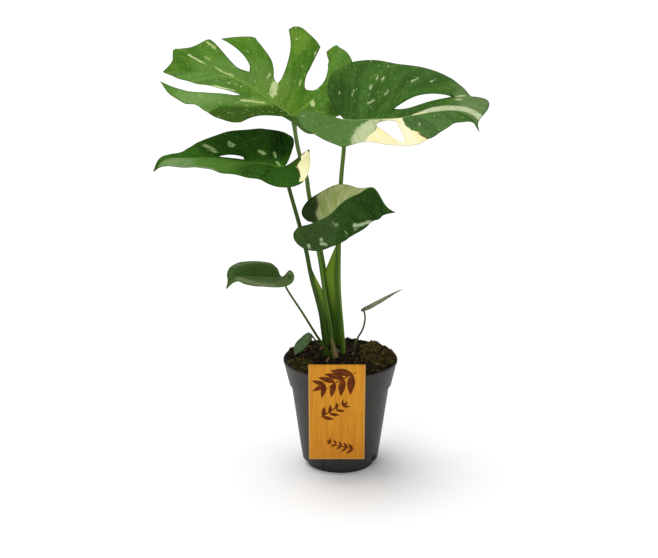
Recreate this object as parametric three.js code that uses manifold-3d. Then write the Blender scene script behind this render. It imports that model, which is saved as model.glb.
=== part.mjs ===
// A young variegated monstera in its nursery pot: seven leaves on their own stalks, the crown they
// rise from, a dry sheath, the soil, the pot and a card tag hooked over the rim.
// Millimetres, +Z up. The origin is the middle of the pot's underside, on the surface it stands on.
import * as THREE from 'three';
import { mergeVertices } from 'three/addons/utils/BufferGeometryUtils.js';
import Module from 'manifold-3d';

const wasm = await Module();
wasm.setup();

// Driving dimensions
const rimRadius = 60;
const potHeight = 116;
const collarHeight = 27;
const collarFootRadius = 54;
const bodyTopRadius = 51.7;
const bodyFootRadius = 40.5;
const footRadius = 36;
const footHeight = 6;
const notchAngles = [36, 108, 180, 252, 324];
const notchWidth = 15;
const notchTop = 16;
const notchSlope = 1.8;
const wall = 1.1;
const floorTop = 1.7;
const holeCount = 6;
const holeRadius = 3.5;
const holeRing = 24;
const gap = 0.3;
const soilEdge = 114.6;
const soilCrown = 119.5;
const chipCount = 34;
const chipSmall = 3;
const chipLarge = 7;
const chipReach = 50;
const chipClear = 9;
const crownX = -6;
const crownY = 2;
const crownRadius = 6;
const crownFoot = 72;
const crownShoulder = 119;
const crownTop = 125.6;
const ringRadius = 9.2;
const stalkFoot = 98;
const bladeThickness = 0.8;
const ribDepth = 1.1;
const sheathRadius = 12.6;
const sheathAngle = 292;
const sheathFoot = 104;
const sheathLean = 0.8; // degrees for each millimetre of height
const sheathFlare = 0.05;

const radians = (degrees) => degrees * Math.PI / 180;
const vector = (p) => new THREE.Vector3(p[0], p[1], p[2]);

// A point on the ring of stalks round the crown, at an angle in degrees
function ringPoint(angle, z, radius = ringRadius) {
  return [crownX + radius * Math.cos(radians(angle)), crownY + radius * Math.sin(radians(angle)), z];
}

// Solids: a closed triangle mesh in, and back to a geometry
function solidOf(geometry) {
  const bare = geometry.clone();
  bare.deleteAttribute('normal');
  bare.deleteAttribute('uv');
  const merged = mergeVertices(bare, 1e-4);
  return new wasm.Manifold(new wasm.Mesh({
    numProp: 3,
    vertProperties: new Float32Array(merged.attributes.position.array),
    triVerts: new Uint32Array(merged.index.array),
  }));
}

function geometryOf(solid) {
  const largest = solid.decompose().sort((a, b) => b.volume() - a.volume())[0];
  const mesh = largest.getMesh();
  const geometry = new THREE.BufferGeometry();
  geometry.setAttribute('position', new THREE.BufferAttribute(new Float32Array(mesh.vertProperties), 3));
  geometry.setIndex(new THREE.BufferAttribute(new Uint32Array(mesh.triVerts), 1));
  return geometry;
}

// Smooth line through points, as a Catmull-Rom spline whose step number is the parameter
function through(points, t) {
  const last = points.length - 1;
  const k = Math.min(Math.floor(Math.max(t, 0)), last - 1);
  const f = Math.min(Math.max(t, 0), last) - k;
  const reflect = (a, b) => a.map((v, n) => 2 * v - b[n]);
  const p1 = points[k];
  const p2 = points[k + 1];
  const p0 = k > 0 ? points[k - 1] : reflect(p1, p2);
  const p3 = k + 1 < last ? points[k + 2] : reflect(p2, p1);
  return p1.map((v, n) => 0.5 * (2 * v + (p2[n] - p0[n]) * f
    + (2 * p0[n] - 5 * v + 4 * p2[n] - p3[n]) * f * f + (3 * v - p0[n] - 3 * p2[n] + p3[n]) * f * f * f));
}

// The midrib: places, and the leaf's own directions along it. Its first point lies behind the
// leaf's base, so that the lobes beside the stalk follow the same bend.
function midrib(leaf) {
  const steps = 360;
  const span = leaf.rib.length - 1;
  const places = [];
  for (let n = 0; n <= steps; n++) places.push(vector(through(leaf.rib, span * n / steps)));
  const run = [0];
  for (let n = 1; n <= steps; n++) run.push(run[n - 1] + places[n].distanceTo(places[n - 1]));
  const baseStep = steps / span;
  const low = Math.floor(baseStep);
  const base = run[low] + (run[low + 1] - run[low]) * (baseStep - low);
  const along = run.map((s) => s - base);
  const pick = (list, x) => {
    let n = 0;
    while (n < steps - 1 && along[n + 1] < x) n++;
    const f = Math.min(Math.max((x - along[n]) / (along[n + 1] - along[n]), 0), 1);
    return list[n].clone().lerp(list[n + 1], f);
  };
  const lean = leaf.lean ?? 8;
  const heading = along.map((s) => pick(places, s + lean).sub(pick(places, s - lean)).normalize());
  const up = heading.map((h) => {
    const face = vector(leaf.face);
    return face.addScaledVector(h, -face.dot(h)).normalize();
  });
  return {
    length: along[steps],
    at(x) {
      const place = pick(places, x);
      place.addScaledVector(heading[0], Math.min(x - along[0], 0));
      place.addScaledVector(heading[steps], Math.max(x - along[steps], 0));
      const normal = pick(up, x);
      return { place, normal, side: new THREE.Vector3().crossVectors(normal, pick(heading, x)) };
    },
  };
}

// Half a blade bends away from the midrib on a round arc: it starts at the fold angle and turns by
// the bend, in degrees over 100 mm. x runs along the midrib and y out from it, on the flat leaf.
function bent(rib, half, x, y, lift) {
  const frame = rib.at(x);
  const q = Math.min(Math.max(x / rib.length, 0), 1);
  const mix = (pair) => radians(pair[0] + (pair[1] - pair[0]) * q);
  const fold = mix(half.fold);
  const bend = mix(half.bend) / 100 || 1e-5;
  const out = (Math.sin(fold + bend * y) - Math.sin(fold)) / bend;
  const rise = (Math.cos(fold) - Math.cos(fold + bend * y)) / bend;
  const turn = y < 0.01 ? 0 : fold + bend * y;
  const normal = frame.normal.clone().multiplyScalar(Math.cos(turn));
  normal.addScaledVector(frame.side, -half.sign * Math.sin(turn));
  const point = frame.place.clone().addScaledVector(frame.side, half.sign * out);
  point.addScaledVector(frame.normal, rise);
  return point.addScaledVector(normal, lift);
}

// One line of points from the midrib to the margin. A plain row is [root, margin x, margin y], with the
// points on its way if it bends round a gap. A cut follows a vein to its inner end and then the edge of
// the gap, on the side of the base or the tip.
function column(row, steps, edge) {
  const points = [];
  for (let n = 0; n <= steps; n++) {
    const r = n / steps;
    if (Array.isArray(row)) {
      const [root, x, y, ...way] = row;
      const bow = 0.18 * Math.min(1, Math.abs(root) / 12);
      points.push(way.length > 0 ? through([[root, 0], ...way, [x, y]], r * (way.length + 1))
        : [root + (x - root) * r - bow * y * r * (1 - r), y * r]);
    } else if (r <= row.from) {
      const f = r / row.from;
      points.push([row.root + (row.inner[0] - row.root) * f, row.inner[1] * f]);
    } else if (r <= row.to) {
      const line = [row.inner, ...row[edge], ...(row.close ? [row.close] : [])];
      points.push(through(line, (r - row.from) / (row.to - row.from) * (line.length - 1)));
    } else {
      const f = (r - row.to) / (1 - row.to);
      points.push(row.close.map((v, k) => v + (row.margin[k] - v) * f));
    }
  }
  return points;
}

const cut = (from, to, root, inner, base, tip, close, margin) =>
  ({ from, to, root, inner, base, tip, close, margin });

// A whole blade: both halves as rows of columns, the midrib stitched between them, a top and a
// bottom face with the same triangles, and a wall round every edge.
function blade(leaf, extra = 0) {
  const rib = midrib(leaf);
  const flat = [];
  const keys = new Map();
  const faces = [];
  const node = (half, x, y) => {
    const own = y < 0.01 ? 0 : half.sign;
    const key = `${own} ${Math.round(x * 500)} ${Math.round(y * 500)}`;
    if (!keys.has(key)) {
      keys.set(key, flat.length);
      flat.push({ half, x, y: own === 0 ? 0 : y });
    }
    return keys.get(key);
  };
  const face = (half, a, b, c) => {
    if (a === b || b === c || a === c) return;
    faces.push(half.sign > 0 ? [a, b, c] : [a, c, b]);
  };
  const stations = [];
  for (let n = 0; n <= leaf.stations; n++) stations.push(rib.length * n / leaf.stations);

  for (const half of leaf.halves) {
    const groups = [[]];
    for (const row of half.edge) {
      if (Array.isArray(row)) {
        groups.at(-1).push(column(row, leaf.rows));
      } else {
        groups.at(-1).push(column(row, leaf.rows, 'base'));
        groups.push([column(row, leaf.rows, 'tip')]);
      }
    }
    const firstRow = [];
    for (const group of groups) {
      const ids = group.map((points) => points.map(([x, y]) =>
        node(half, y < 0.01 ? Math.min(x, rib.length) : x, y)));
      ids.forEach((line, k) => firstRow.push([Math.min(group[k][0][0], rib.length), line[1]]));
      for (let k = 0; k + 1 < ids.length; k++) {
        for (let n = 1; n < leaf.rows; n++) {
          face(half, ids[k][n], ids[k + 1][n], ids[k + 1][n + 1]);
          face(half, ids[k][n], ids[k + 1][n + 1], ids[k][n + 1]);
        }
      }
    }
    // The strip beside the midrib joins its even stations to the first row of the half
    const ribIds = stations.map((x) => node(half, x, 0));
    let a = 0;
    let b = 0;
    while (a < stations.length - 1 || b < firstRow.length - 1) {
      const nextA = a < stations.length - 1 ? (stations[a] + stations[a + 1]) / 2 : Infinity;
      const nextB = b < firstRow.length - 1 ? (firstRow[b][0] + firstRow[b + 1][0]) / 2 : Infinity;
      if (nextA < nextB) {
        face(half, ribIds[a], ribIds[a + 1], firstRow[b][1]);
        a += 1;
      } else {
        face(half, ribIds[a], firstRow[b + 1][1], firstRow[b][1]);
        b += 1;
      }
    }
  }

  const used = new Map();
  faces.flat().forEach((id) => used.has(id) || used.set(id, used.size));
  const positions = [];
  const place = (lift) => {
    for (const id of used.keys()) {
      const { half, x, y } = flat[id];
      const deep = y === 0 && lift < 0 ? ribDepth * (1 - 0.7 * Math.min(Math.max(x / rib.length, 0), 1)) : 0;
      bent(rib, half, x, y, lift - deep).toArray(positions, positions.length);
    }
  };
  place(bladeThickness / 2 + extra);
  place(-bladeThickness / 2 - extra);
  const count = used.size;
  const index = [];
  const open = new Map();
  for (const triangle of faces) {
    const [a, b, c] = triangle.map((id) => used.get(id));
    index.push(a, b, c, a + count, c + count, b + count);
    for (const [p, q] of [[a, b], [b, c], [c, a]]) {
      if (!open.delete(`${q} ${p}`)) open.set(`${p} ${q}`, [p, q]);
    }
  }
  for (const [p, q] of open.values()) index.push(q, p, p + count, q, p + count, q + count);
  const geometry = new THREE.BufferGeometry();
  geometry.setAttribute('position', new THREE.Float32BufferAttribute(positions, 3));
  geometry.setIndex(index);
  return geometry;
}

// A stalk: rings carried along its route, from the soil to the blade. The radius shrinks evenly from
// foot to top, and a wing, the sheath's free edge, stands out to one side over part of the way.
function stalk(plan, extra = 0) {
  const curve = new THREE.CatmullRomCurve3(plan.route.map(vector), false, 'catmullrom', 0.5);
  const sides = plan.sides ?? 8;
  const steps = plan.steps;
  const reach = vector(plan.wing ? plan.wing.toward : [1, 0, 0]);
  const positions = [];
  for (let n = 0; n <= steps; n++) {
    const t = n / steps;
    const middle = curve.getPointAt(t);
    const heading = curve.getTangentAt(t);
    const out = reach.clone().addScaledVector(heading, -reach.dot(heading)).normalize();
    const across = new THREE.Vector3().crossVectors(heading, out);
    const radius = plan.foot + (plan.top - plan.foot) * t + extra;
    const wing = plan.wing ? wingWidth(plan.wing.widths, middle.z) : 0;
    for (let k = 0; k < sides; k++) {
      const angle = 2 * Math.PI * k / sides;
      const spread = radius * Math.cos(angle) + (k === 0 ? wing : 0);
      const point = middle.clone().addScaledVector(out, spread);
      point.addScaledVector(across, radius * Math.sin(angle)).toArray(positions, positions.length);
    }
  }
  const index = [];
  for (let n = 0; n < steps; n++) {
    for (let k = 0; k < sides; k++) {
      const a = n * sides + k;
      const b = n * sides + (k + 1) % sides;
      index.push(a, b, b + sides, a, b + sides, a + sides);
    }
  }
  for (let k = 1; k + 1 < sides; k++) {
    const end = steps * sides;
    index.push(0, k + 1, k, end, end + k, end + k + 1);
  }
  const geometry = new THREE.BufferGeometry();
  geometry.setAttribute('position', new THREE.Float32BufferAttribute(positions, 3));
  geometry.setIndex(index);
  return geometry;
}

// The wing's width at a height, evenly between the listed pairs of height and width
function wingWidth(widths, z) {
  const n = widths.findIndex(([height]) => height > z);
  if (n < 1) return 0;
  const [[low, from], [high, to]] = [widths[n - 1], widths[n]];
  return from + (to - from) * (z - low) / (high - low);
}

const leaves = {
  upper_left: {
    rib: [[-35, 4, 366], [-48, 10, 370], [-76, 18, 388], [-102, 25, 403], [-126, 30, 409], [-153, 33, 411],
      [-180, 30, 412]],
    face: [0, -0.669, 0.743], rows: 8, stations: 22,
    halves: [
      { sign: 1, fold: [18, 14], bend: [-12, -16], edge: [
        [0, -20, 0.8], [0, -32, 5], [0, -35, 13], [0, -28, 18], [0, -17, 15],
        cut(0.25, 1, 5, [8, 9], [[3, 8.5], [-2, 8.5], [-9, 10]],
          [[16, 16.5], [23.5, 24.5], [29.5, 34], [34.5, 48]]),
        [20, 43, 55], [27, 52, 58.5], [34, 61, 60], [40, 70, 60], [44, 79, 58.5], [46, 88, 56, [55, 30]],
        [48, 101, 50, [58, 31]], [49, 121, 48, [61, 33]], [50, 138, 36, [62, 31.5]],
        cut(0.25, 1, 51, [54, 16.5], [[63, 24], [88, 30.5], [116, 31], [134, 25.5], [148, 16]],
          [[58, 17.5], [64, 19], [72, 20.5]]),
        [62, 90, 20], [82, 110, 17.5], [108, 130, 10.5], [145, 145, 0]] },
      { sign: -1, fold: [20, 16], bend: [-10, -14], edge: [
        [0, -12, 0.8], [0, -25, 4.5], [0, -37, 9], [0, -44, 14], [0, -50, 20], [0, -53, 30], [0, -51, 42],
        [0, -46, 54, [-25, 32]], [0, -40, 65, [-25, 40]], [0, -33, 76, [-13, 25], [-26, 45], [-31, 61]],
        [0, -23, 84, [-10, 26], [-23.5, 47], [-26, 67]], [0, -12, 87, [-8, 26.5], [-21.5, 46], [-20, 68]],
        [0, 0, 88, [-5.5, 27], [-19, 45], [-14, 68.5]], [1, 9, 87, [-3, 27], [-17, 44], [-8, 68.5]],
        cut(0.25, 1, 4, [5, 30.5], [[-8, 35], [-14.5, 45], [-13, 56], [-6, 65], [8, 72], [13, 76]],
          [[9, 33], [14, 42], [16, 52], [20.8, 76.6]]),
        [8, 28, 80], [11, 38, 82], [14, 47, 83], [18, 52, 80],
        cut(0.25, 1, 24, [32.5, 19], [[32.5, 27], [37, 43], [43.5, 58], [54, 74]],
          [[35, 19.5], [39, 22], [43.5, 28.4]]),
        [34, 50, 35], [40, 59, 41], [45, 67, 47], [49, 71, 50], [53, 80, 46], [56, 89, 42, [63, 22]],
        cut(0.25, 1, 58, [61.5, 13.5], [[64.5, 20], [73, 28], [84, 35.2], [94, 40]],
          [[68, 11], [75, 13.7], [84, 20.5], [100, 36]]),
        [72, 104, 38], [80, 112, 32], [88, 119, 28], [96, 127, 26], [104, 134, 24], [118, 135, 13],
        [132, 140, 5], [145, 145, 0]] },
    ],
  },
  upper_right: {
    rib: [[-35, -17, 384], [3, -15, 371], [33, -13, 371], [59, -11, 372], [88, -10, 377], [108, -10, 379],
      [120, -12, 377], [130, -16, 371], [136, -22, 360]],
    face: [0, -0.643, 0.766], rows: 8, stations: 22,
    halves: [
      { sign: 1, fold: [20, 14], bend: [-10, -20], edge: [
        [0, -17, 13], [0, -23, 20], [0, -26, 29], [0, -26, 40], [0, -19, 51], [0, -5, 60], [4, 10, 64],
        [10, 27, 65.5], [17, 41, 65], [25, 53, 63], [31, 63, 60], [36, 74, 57], [39, 86, 52],
        [41, 97, 45, [57, 26]], [43, 105, 37, [62, 25]],
        cut(0.125, 0.875, 44, [50, 10.3], [[62, 16.3], [76, 20.4], [90, 20.3], [101, 17.8]],
          [[62, 9.1], [75, 10.3], [88, 12.4], [99, 13.6]], [107, 15.2], [112, 28]),
        [60, 118, 21, [98, 10.5]], [80, 122, 21.5], [95, 126, 25], [104, 129, 24], [112, 131, 19],
        [118, 132.5, 12], [124, 134, 6], [132, 137, 2], [145, 145, 0]] },
      { sign: -1, fold: [18, 14], bend: [-12, -20], edge: [
        [0, -26, 1], [0, -40, 6], [0, -46, 15], [0, -44, 26], [0, -38, 35], [0, -28, 38], [0, -16, 42],
        [1, -7, 44], [4, 0, 45.5], [8, 6, 41], [14, 16, 37], [20, 27, 39], [27, 38, 42],
        cut(0.125, 0.875, 38, [44, 2.2], [[36, 2.9], [31, 7.5], [32, 13.5], [38, 21.5], [46, 33.5]],
          [[51, 3.2], [52, 13], [54, 24]], [55, 40.5], [58, 45.5]),
        [50, 67, 45, [57, 18]], [56, 76, 40], [64, 84, 38], [76, 96, 30], [88, 109, 23], [100, 123, 14],
        [118, 133, 3], [130, 138, 1.2], [145, 145, 0]] },
    ],
  },
  middle: {
    rib: [[-33, -27, 343], [-56, -25, 326], [-75, -22, 328], [-93, -20, 329], [-123, -18, 333],
      [-150, -18, 333], [-173, -20, 332], [-186, -26, 321]],
    face: [0, -0.407, 0.914], rows: 8, stations: 20,
    halves: [
      { sign: 1, fold: [10, 8], bend: [-12, -20], edge: [
        [0, -27, 0.5], [0, -31, 3], [0, -29, 14], [0, -27, 25], [0, -23, 35], [0, -19, 41], [0, -13, 45.5],
        [1, -6, 45], [3, 0, 41.5], [8, 10, 35], [16, 21, 32], [24, 33, 30], [36, 47, 27.5], [46, 62, 28],
        [60, 75, 22.5], [74, 87, 20], [88, 99, 19], [102, 112, 18], [112, 121, 12], [122, 129, 4],
        [137, 137, 0]] },
      { sign: -1, fold: [12, 8], bend: [-12, -20], edge: [
        [0, -1, 5], [0, -5, 9], [0, -11, 11.5], [0, -16, 13.8], [0, -20, 19], [0, -21.2, 26],
        [0, -18.6, 34], [0, -14.4, 42], [0, -8, 48], [1, 0, 50], [3, 9, 48.4], [6, 17, 49.8],
        [10, 26, 50.8], [15, 35, 51], [22, 50, 46.8], [29, 62, 41.3], [34, 73, 33.5], [37, 84, 26, [50, 13]],
        cut(0.125, 0.5, 38, [41.5, 3.5], [[45, 8], [54, 7.6], [62, 5.2]], [[48, 1], [58, 0.9]], [68, 2.2],
          [95, 17]),
        [70, 101, 11], [84, 108, 7], [98, 115, 6], [110, 121, 6.5], [120, 128, 4], [137, 137, 0]] },
    ],
  },
  centre: {
    rib: [[-44, -33, 267], [-27, -30, 270], [-12, -30, 277], [3, -28, 291], [17, -26, 298], [32, -26, 304],
      [45, -32, 287], [54, -38, 282]],
    face: [0, -0.588, 0.809], lean: 60, rows: 6, stations: 16,
    halves: [
      { sign: 1, fold: [42, -80], bend: [-20, -20], edge: [
        [0, -5, 3], [0, -7, 7], [0, -7, 12], [0, -4, 17], [1, 1, 21], [4, 7, 24], [9, 14, 26], [15, 22, 27],
        [22, 30, 27], [29, 38, 24.5], [36, 46, 20], [44, 54, 13], [56, 64, 6], [70, 78, 5], [84, 92, 3],
        [104, 104, 0]] },
      { sign: -1, fold: [-20, -25], bend: [-15, -25], edge: [
        [0, -14, 0.8], [0, -19, 2], [0, -24, 5], [0, -26, 11], [0, -25, 17], [0, -22, 23], [0, -17, 28],
        [0, -10, 30], [1, -2, 30], [4, 7, 29.5], [9, 19, 31], [15, 30, 35], [22, 42, 37.5], [31, 53, 37],
        [41, 63, 35.5], [52, 72, 31], [64, 81, 22], [76, 89, 12], [88, 96, 5], [104, 104, 0]] },
    ],
  },
  low_left: {
    rib: [[-51, -18, 221], [-60, -18, 210], [-79, -16, 209], [-103, -16, 210], [-110, -18, 208],
      [-117, -22, 198]],
    face: [0, -0.375, 0.927], rows: 5, stations: 12,
    halves: [
      { sign: 1, fold: [10, 8], bend: [-15, -20], edge: [
        [0, -7, 0.5], [0, -10.6, 1.6], [0, -12.3, 5], [0, -12.4, 9.5], [0, -11.5, 14], [0, -9, 18.6],
        [0, -5.5, 20.6], [1, -1, 20], [3, 6, 18.8], [7, 15, 18.5], [14, 25, 18], [24, 35, 16],
        [36, 46, 10.8], [48, 55, 4], [64, 64, 0]] },
      { sign: -1, fold: [12, 8], bend: [-15, -20], edge: [
        [0, 2.3, 6.2], [1, 4, 11.7], [3, 8.9, 16.2], [6, 15, 20.6], [11, 28, 22.3], [18, 40, 21],
        [26, 46, 17], [34, 50, 12.5], [42, 53, 8], [50, 56, 3.5], [64, 64, 0]] },
    ],
  },
  shoot: {
    rib: [[18, 15, 162], [24, 15, 166], [36, 14, 173], [52, 12, 182], [66, 10, 189]],
    face: [-0.43, 0.2, 0.88], rows: 4, stations: 8,
    halves: [1, -1].map((sign) => ({ sign, fold: sign > 0 ? [-4, -4] : [-12, -12],
      bend: sign > 0 ? [-10, -10] : [-20, -20],
      edge: [[0, -3, 3], [0, -2, 8], [2, 4, 12], [6, 12, 13.5], [13, 21, 12], [22, 31, 8.5], [32, 39, 4],
        [46, 46, 0]] })),
  },
  soil_side: {
    rib: [[-29, -8, 148], [-32, -10, 146], [-37, -12, 141], [-43, -13, 133], [-48, -14, 124]],
    face: [-0.5, -0.7, 0.5], rows: 4, stations: 7,
    halves: [
      { sign: 1, fold: [12, 8], bend: [-30, -20], edge: [
        [0, -1, 3], [0, 2, 7], [3, 8, 8.5], [8, 16, 7.5], [16, 23, 4], [28, 28, 0]] },
      { sign: -1, fold: [12, 8], bend: [-30, -20], edge: [
        [0, -1, 2], [0, 3, 3.5], [3, 9, 4.5], [8, 16, 5.5], [15, 22, 4.5], [28, 28, 0]] },
    ],
  },
};

// Each route starts in the soil, at its place on the ring, and ends under its blade
const footOf = (angle) => [ringPoint(angle, stalkFoot), ringPoint(angle, 110), ringPoint(angle, 122)];
const stalks = {
  upper_left: { foot: 2.9, top: 2, steps: 22, route: [...footOf(100), [-10, 11, 160], [-14, 11, 187],
    [-21, 11, 231], [-32, 11, 286], [-35, 11, 307], [-42, 11, 331], [-45, 11, 346], [-48, 10, 368]] },
  upper_right: { foot: 2.9, top: 2, steps: 22, route: [...footOf(345), [1, 0, 150], [-2, -1, 191],
    [-2, -1, 240], [0, -1, 303], [3, -6, 342], [3, -15, 369]],
    wing: { toward: [-1, 0, 0],
      widths: [[129, 0], [135, 6], [160, 7], [190, 8.5], [206, 10.8], [213, 10.6], [240, 0]] } },
  middle: { foot: 2.6, top: 1.9, steps: 20, route: [...footOf(190), [-18, -1, 146], [-21, -4, 169],
    [-30, -9, 207], [-35, -12, 235], [-42, -16, 265], [-52, -21, 304], [-56, -25, 324]],
    wing: { toward: [1, -0.3, 0], widths: [[128, 0], [134, 4.5], [166, 5.5], [192, 6], [216, 0]] } },
  centre: { foot: 2.4, top: 1.7, steps: 16, route: [...footOf(262), [-11, -9, 155], [-16, -14, 189],
    [-21, -19, 226], [-25, -24, 251], [-27, -30, 268]] },
  low_left: { foot: 1.5, top: 1, sides: 7, steps: 12, route: [...footOf(225), [-26, -7, 145],
    [-39, -12, 169], [-54, -17, 195], [-60, -18, 208]] },
  shoot: { foot: 1.2, top: 0.9, sides: 6, steps: 10, route: [[15, 15, stalkFoot], [15, 15, 122],
    [19, 15, 134], [22, 15, 139], [25, 15, 147], [26, 15, 157], [24, 15, 164.5]] },
  soil_side: { foot: 1.1, top: 0.8, sides: 6, steps: 8, route: [ringPoint(145, stalkFoot),
    ringPoint(145, 120), [-24, 3, 131], [-28, -5, 140], [-31, -9, 145]] },
};

// A solid turned about the pot's axis from its outline of radius and height
function turned(outline, sectors) {
  const geometry = new THREE.LatheGeometry(outline.map(([r, z]) => new THREE.Vector2(r, z)), sectors);
  return solidOf(geometry.rotateX(Math.PI / 2));
}

// The drainage notches slope the body's lower edge in to the foot. An inset moves the slope inwards.
function notches(inset) {
  const profile = new THREE.Shape();
  profile.moveTo(footRadius + 0.4 - inset, footHeight - 0.4);
  profile.lineTo(bodyTopRadius, footHeight - 0.4 - inset);
  profile.lineTo(bodyTopRadius, notchTop + inset);
  profile.lineTo(bodyFootRadius + notchSlope - inset, notchTop + inset);
  const width = notchWidth + 2 * inset;
  const toWorld = new THREE.Matrix4().makeBasis(new THREE.Vector3(1, 0, 0), new THREE.Vector3(0, 0, 1),
    new THREE.Vector3(0, -1, 0));
  return notchAngles.map((angle) => {
    const wedge = new THREE.ExtrudeGeometry(profile, { depth: width, bevelEnabled: false });
    wedge.translate(0, 0, -width / 2).applyMatrix4(toWorld).rotateZ(radians(angle));
    return solidOf(wedge);
  }).reduce((all, wedge) => all.add(wedge));
}

// The pot has one thin wall: foot, tapered body, step, collar and lip, with holes in its floor and
// notches round its lower edge.
function pot() {
  const step = potHeight - collarHeight;
  let outside = turned([[0, 0], [footRadius - 1, 0], [footRadius, 1], [footRadius + 0.6, footHeight - 1],
    [bodyFootRadius, footHeight], [bodyTopRadius, step - 1], [collarFootRadius - 0.4, step],
    [collarFootRadius, step + 1], [rimRadius - 0.6, potHeight - 3], [rimRadius, potHeight - 2.4],
    [rimRadius, potHeight - 0.5], [rimRadius - 0.5, potHeight], [0, potHeight]], 48);
  let inside = turned([[0, floorTop], [footRadius - wall - 0.4, floorTop],
    [footRadius - wall, footHeight], [bodyFootRadius - wall, footHeight + wall],
    [bodyTopRadius - wall, step - 0.4], [collarFootRadius - wall, step + 1.6],
    [rimRadius - wall - 0.2, potHeight - 3],
    [rimRadius - wall, potHeight + 1], [0, potHeight + 1]], 48);
  outside = outside.subtract(notches(0));
  inside = inside.subtract(notches(wall));
  let solid = outside.subtract(inside);
  for (let n = 0; n < holeCount; n++) {
    const hole = new THREE.CylinderGeometry(holeRadius, holeRadius, 12, 12);
    hole.rotateX(Math.PI / 2);
    const angle = 2 * Math.PI * (n + 0.5) / holeCount;
    hole.translate(holeRing * Math.cos(angle), holeRing * Math.sin(angle), 0);
    solid = solid.subtract(solidOf(hole));
  }
  return geometryOf(solid);
}

// Seeded draws, so that the soil is the same each time
let seed = 20;
function draw() {
  seed = (seed * 1103515245 + 12345) % 2147483648;
  return seed / 2147483648;
}

// The soil's surface: low at the wall, mounded to the crown, with slow lumps
function soilHeight(x, y) {
  const r = Math.hypot(x, y) / rimRadius;
  const mound = soilEdge + (soilCrown - soilEdge) * (1 - r * r);
  return mound + 1.3 * Math.sin(0.17 * x + 1) * Math.cos(0.15 * y) + 0.7 * Math.sin(0.33 * x - 0.27 * y);
}

function soil() {
  const step = potHeight - collarHeight;
  const inset = wall + gap;
  const profile = [[footRadius - inset - 0.4, floorTop + gap], [footRadius - inset, footHeight + gap],
    [bodyFootRadius - inset - 0.1, footHeight + wall + gap], [bodyTopRadius - inset - 0.1, step + 0.2],
    [collarFootRadius - inset - 0.3, step + 2.2], [rimRadius - inset - 1.1, soilEdge - 3]];
  const sectors = 36;
  const rings = 7;
  const edge = rimRadius - inset - 0.7;
  const positions = [0, 0, floorTop + gap];
  const lines = profile.map(([r, z]) => () => [r, z]);
  for (let n = rings; n > 0; n--) lines.push((x, y) => [edge * n / rings, soilHeight(x, y)]);
  lines.forEach((line) => {
    for (let k = 0; k < sectors; k++) {
      const angle = 2 * Math.PI * k / sectors;
      const r = line(0, 0)[0];
      const x = r * Math.cos(angle);
      const y = r * Math.sin(angle);
      positions.push(x, y, line(x, y)[1]);
    }
  });
  const top = positions.length / 3;
  positions.push(0, 0, soilHeight(0, 0));
  const index = [];
  for (let k = 0; k < sectors; k++) {
    const next = (k + 1) % sectors;
    index.push(0, 1 + next, 1 + k);
    for (let n = 0; n + 1 < lines.length; n++) {
      const a = 1 + n * sectors;
      index.push(a + k, a + next, a + sectors + next, a + k, a + sectors + next, a + sectors + k);
    }
    const last = 1 + (lines.length - 1) * sectors;
    index.push(last + k, last + next, top);
  }
  const mound = new THREE.BufferGeometry();
  mound.setAttribute('position', new THREE.Float32BufferAttribute(positions, 3));
  mound.setIndex(index);
  let solid = solidOf(mound);

  // Bark chips and crumbs, half sunk, kept clear of the stalks and the wall
  const feet = Object.values(stalks).map((plan) => plan.route[0]);
  for (let n = 0; n < chipCount;) {
    const r = chipReach * Math.sqrt(draw());
    const angle = 2 * Math.PI * draw();
    const x = r * Math.cos(angle);
    const y = r * Math.sin(angle);
    const size = chipSmall + (chipLarge - chipSmall) * draw();
    const chip = new THREE.BoxGeometry(size, size * 0.6, size * 0.45);
    chip.rotateX(draw() - 0.5).rotateY(draw() - 0.5).rotateZ(6 * draw());
    const onStalk = feet.some((p) => Math.hypot(p[0] - x, p[1] - y) < chipClear);
    if (onStalk || (y < -44 && Math.abs(x - tagX) < stakeWidth)) continue;
    chip.translate(x, y, soilHeight(x, y) + 0.2);
    solid = solid.add(solidOf(chip));
    n += 1;
  }

  solid = solid.subtract(notches(wall + gap));
  for (const plan of Object.values(stalks)) solid = solid.subtract(solidOf(stalk(plan, gap)));
  solid = solid.subtract(solidOf(crown(gap)));
  solid = solid.subtract(solidOf(drySheath(gap)));
  solid = solid.subtract(solidOf(tagStake(gap, slotDepth)));
  return geometryOf(solid);
}

// The crown is the short stem that the stalks stand round
function crown(extra = 0) {
  const r = crownRadius + extra;
  const outline = [[0, crownFoot - extra], [r * 0.6, crownFoot - extra], [r, crownFoot + 8],
    [r, crownShoulder], [r * 0.75, crownShoulder + 4], [r * 0.4, crownTop - 0.6],
    [0, crownTop]].map(([x, z]) => new THREE.Vector2(x, z));
  const geometry = new THREE.LatheGeometry(outline, 16);
  geometry.rotateX(Math.PI / 2);
  return geometry.translate(crownX, crownY, 0);
}

// A papery strip, bent round the front of the stalks, that leans and tapers to a torn point
function drySheath(extra = 0) {
  const outline = new THREE.Shape();
  outline.moveTo(-25, 0);
  outline.lineTo(22, 0);
  outline.quadraticCurveTo(20, 20, 12, 29);
  outline.lineTo(6, 27);
  outline.lineTo(0, 38);
  outline.quadraticCurveTo(-16, 26, -25, 0);
  const depth = bladeThickness + 2 * extra;
  const strip = new THREE.ExtrudeGeometry(outline, { depth, bevelEnabled: false, curveSegments: 5 });
  const points = strip.attributes.position;
  for (let n = 0; n < points.count; n++) {
    const height = points.getY(n);
    const angle = radians(sheathAngle + points.getX(n) * (1 + extra / 8) - sheathLean * height);
    const r = sheathRadius - extra + points.getZ(n) + sheathFlare * height;
    const z = sheathFoot - (height === 0 ? extra : 0) + height;
    points.setXYZ(n, crownX + r * Math.cos(angle), crownY + r * Math.sin(angle), z);
  }
  return strip;
}

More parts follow.
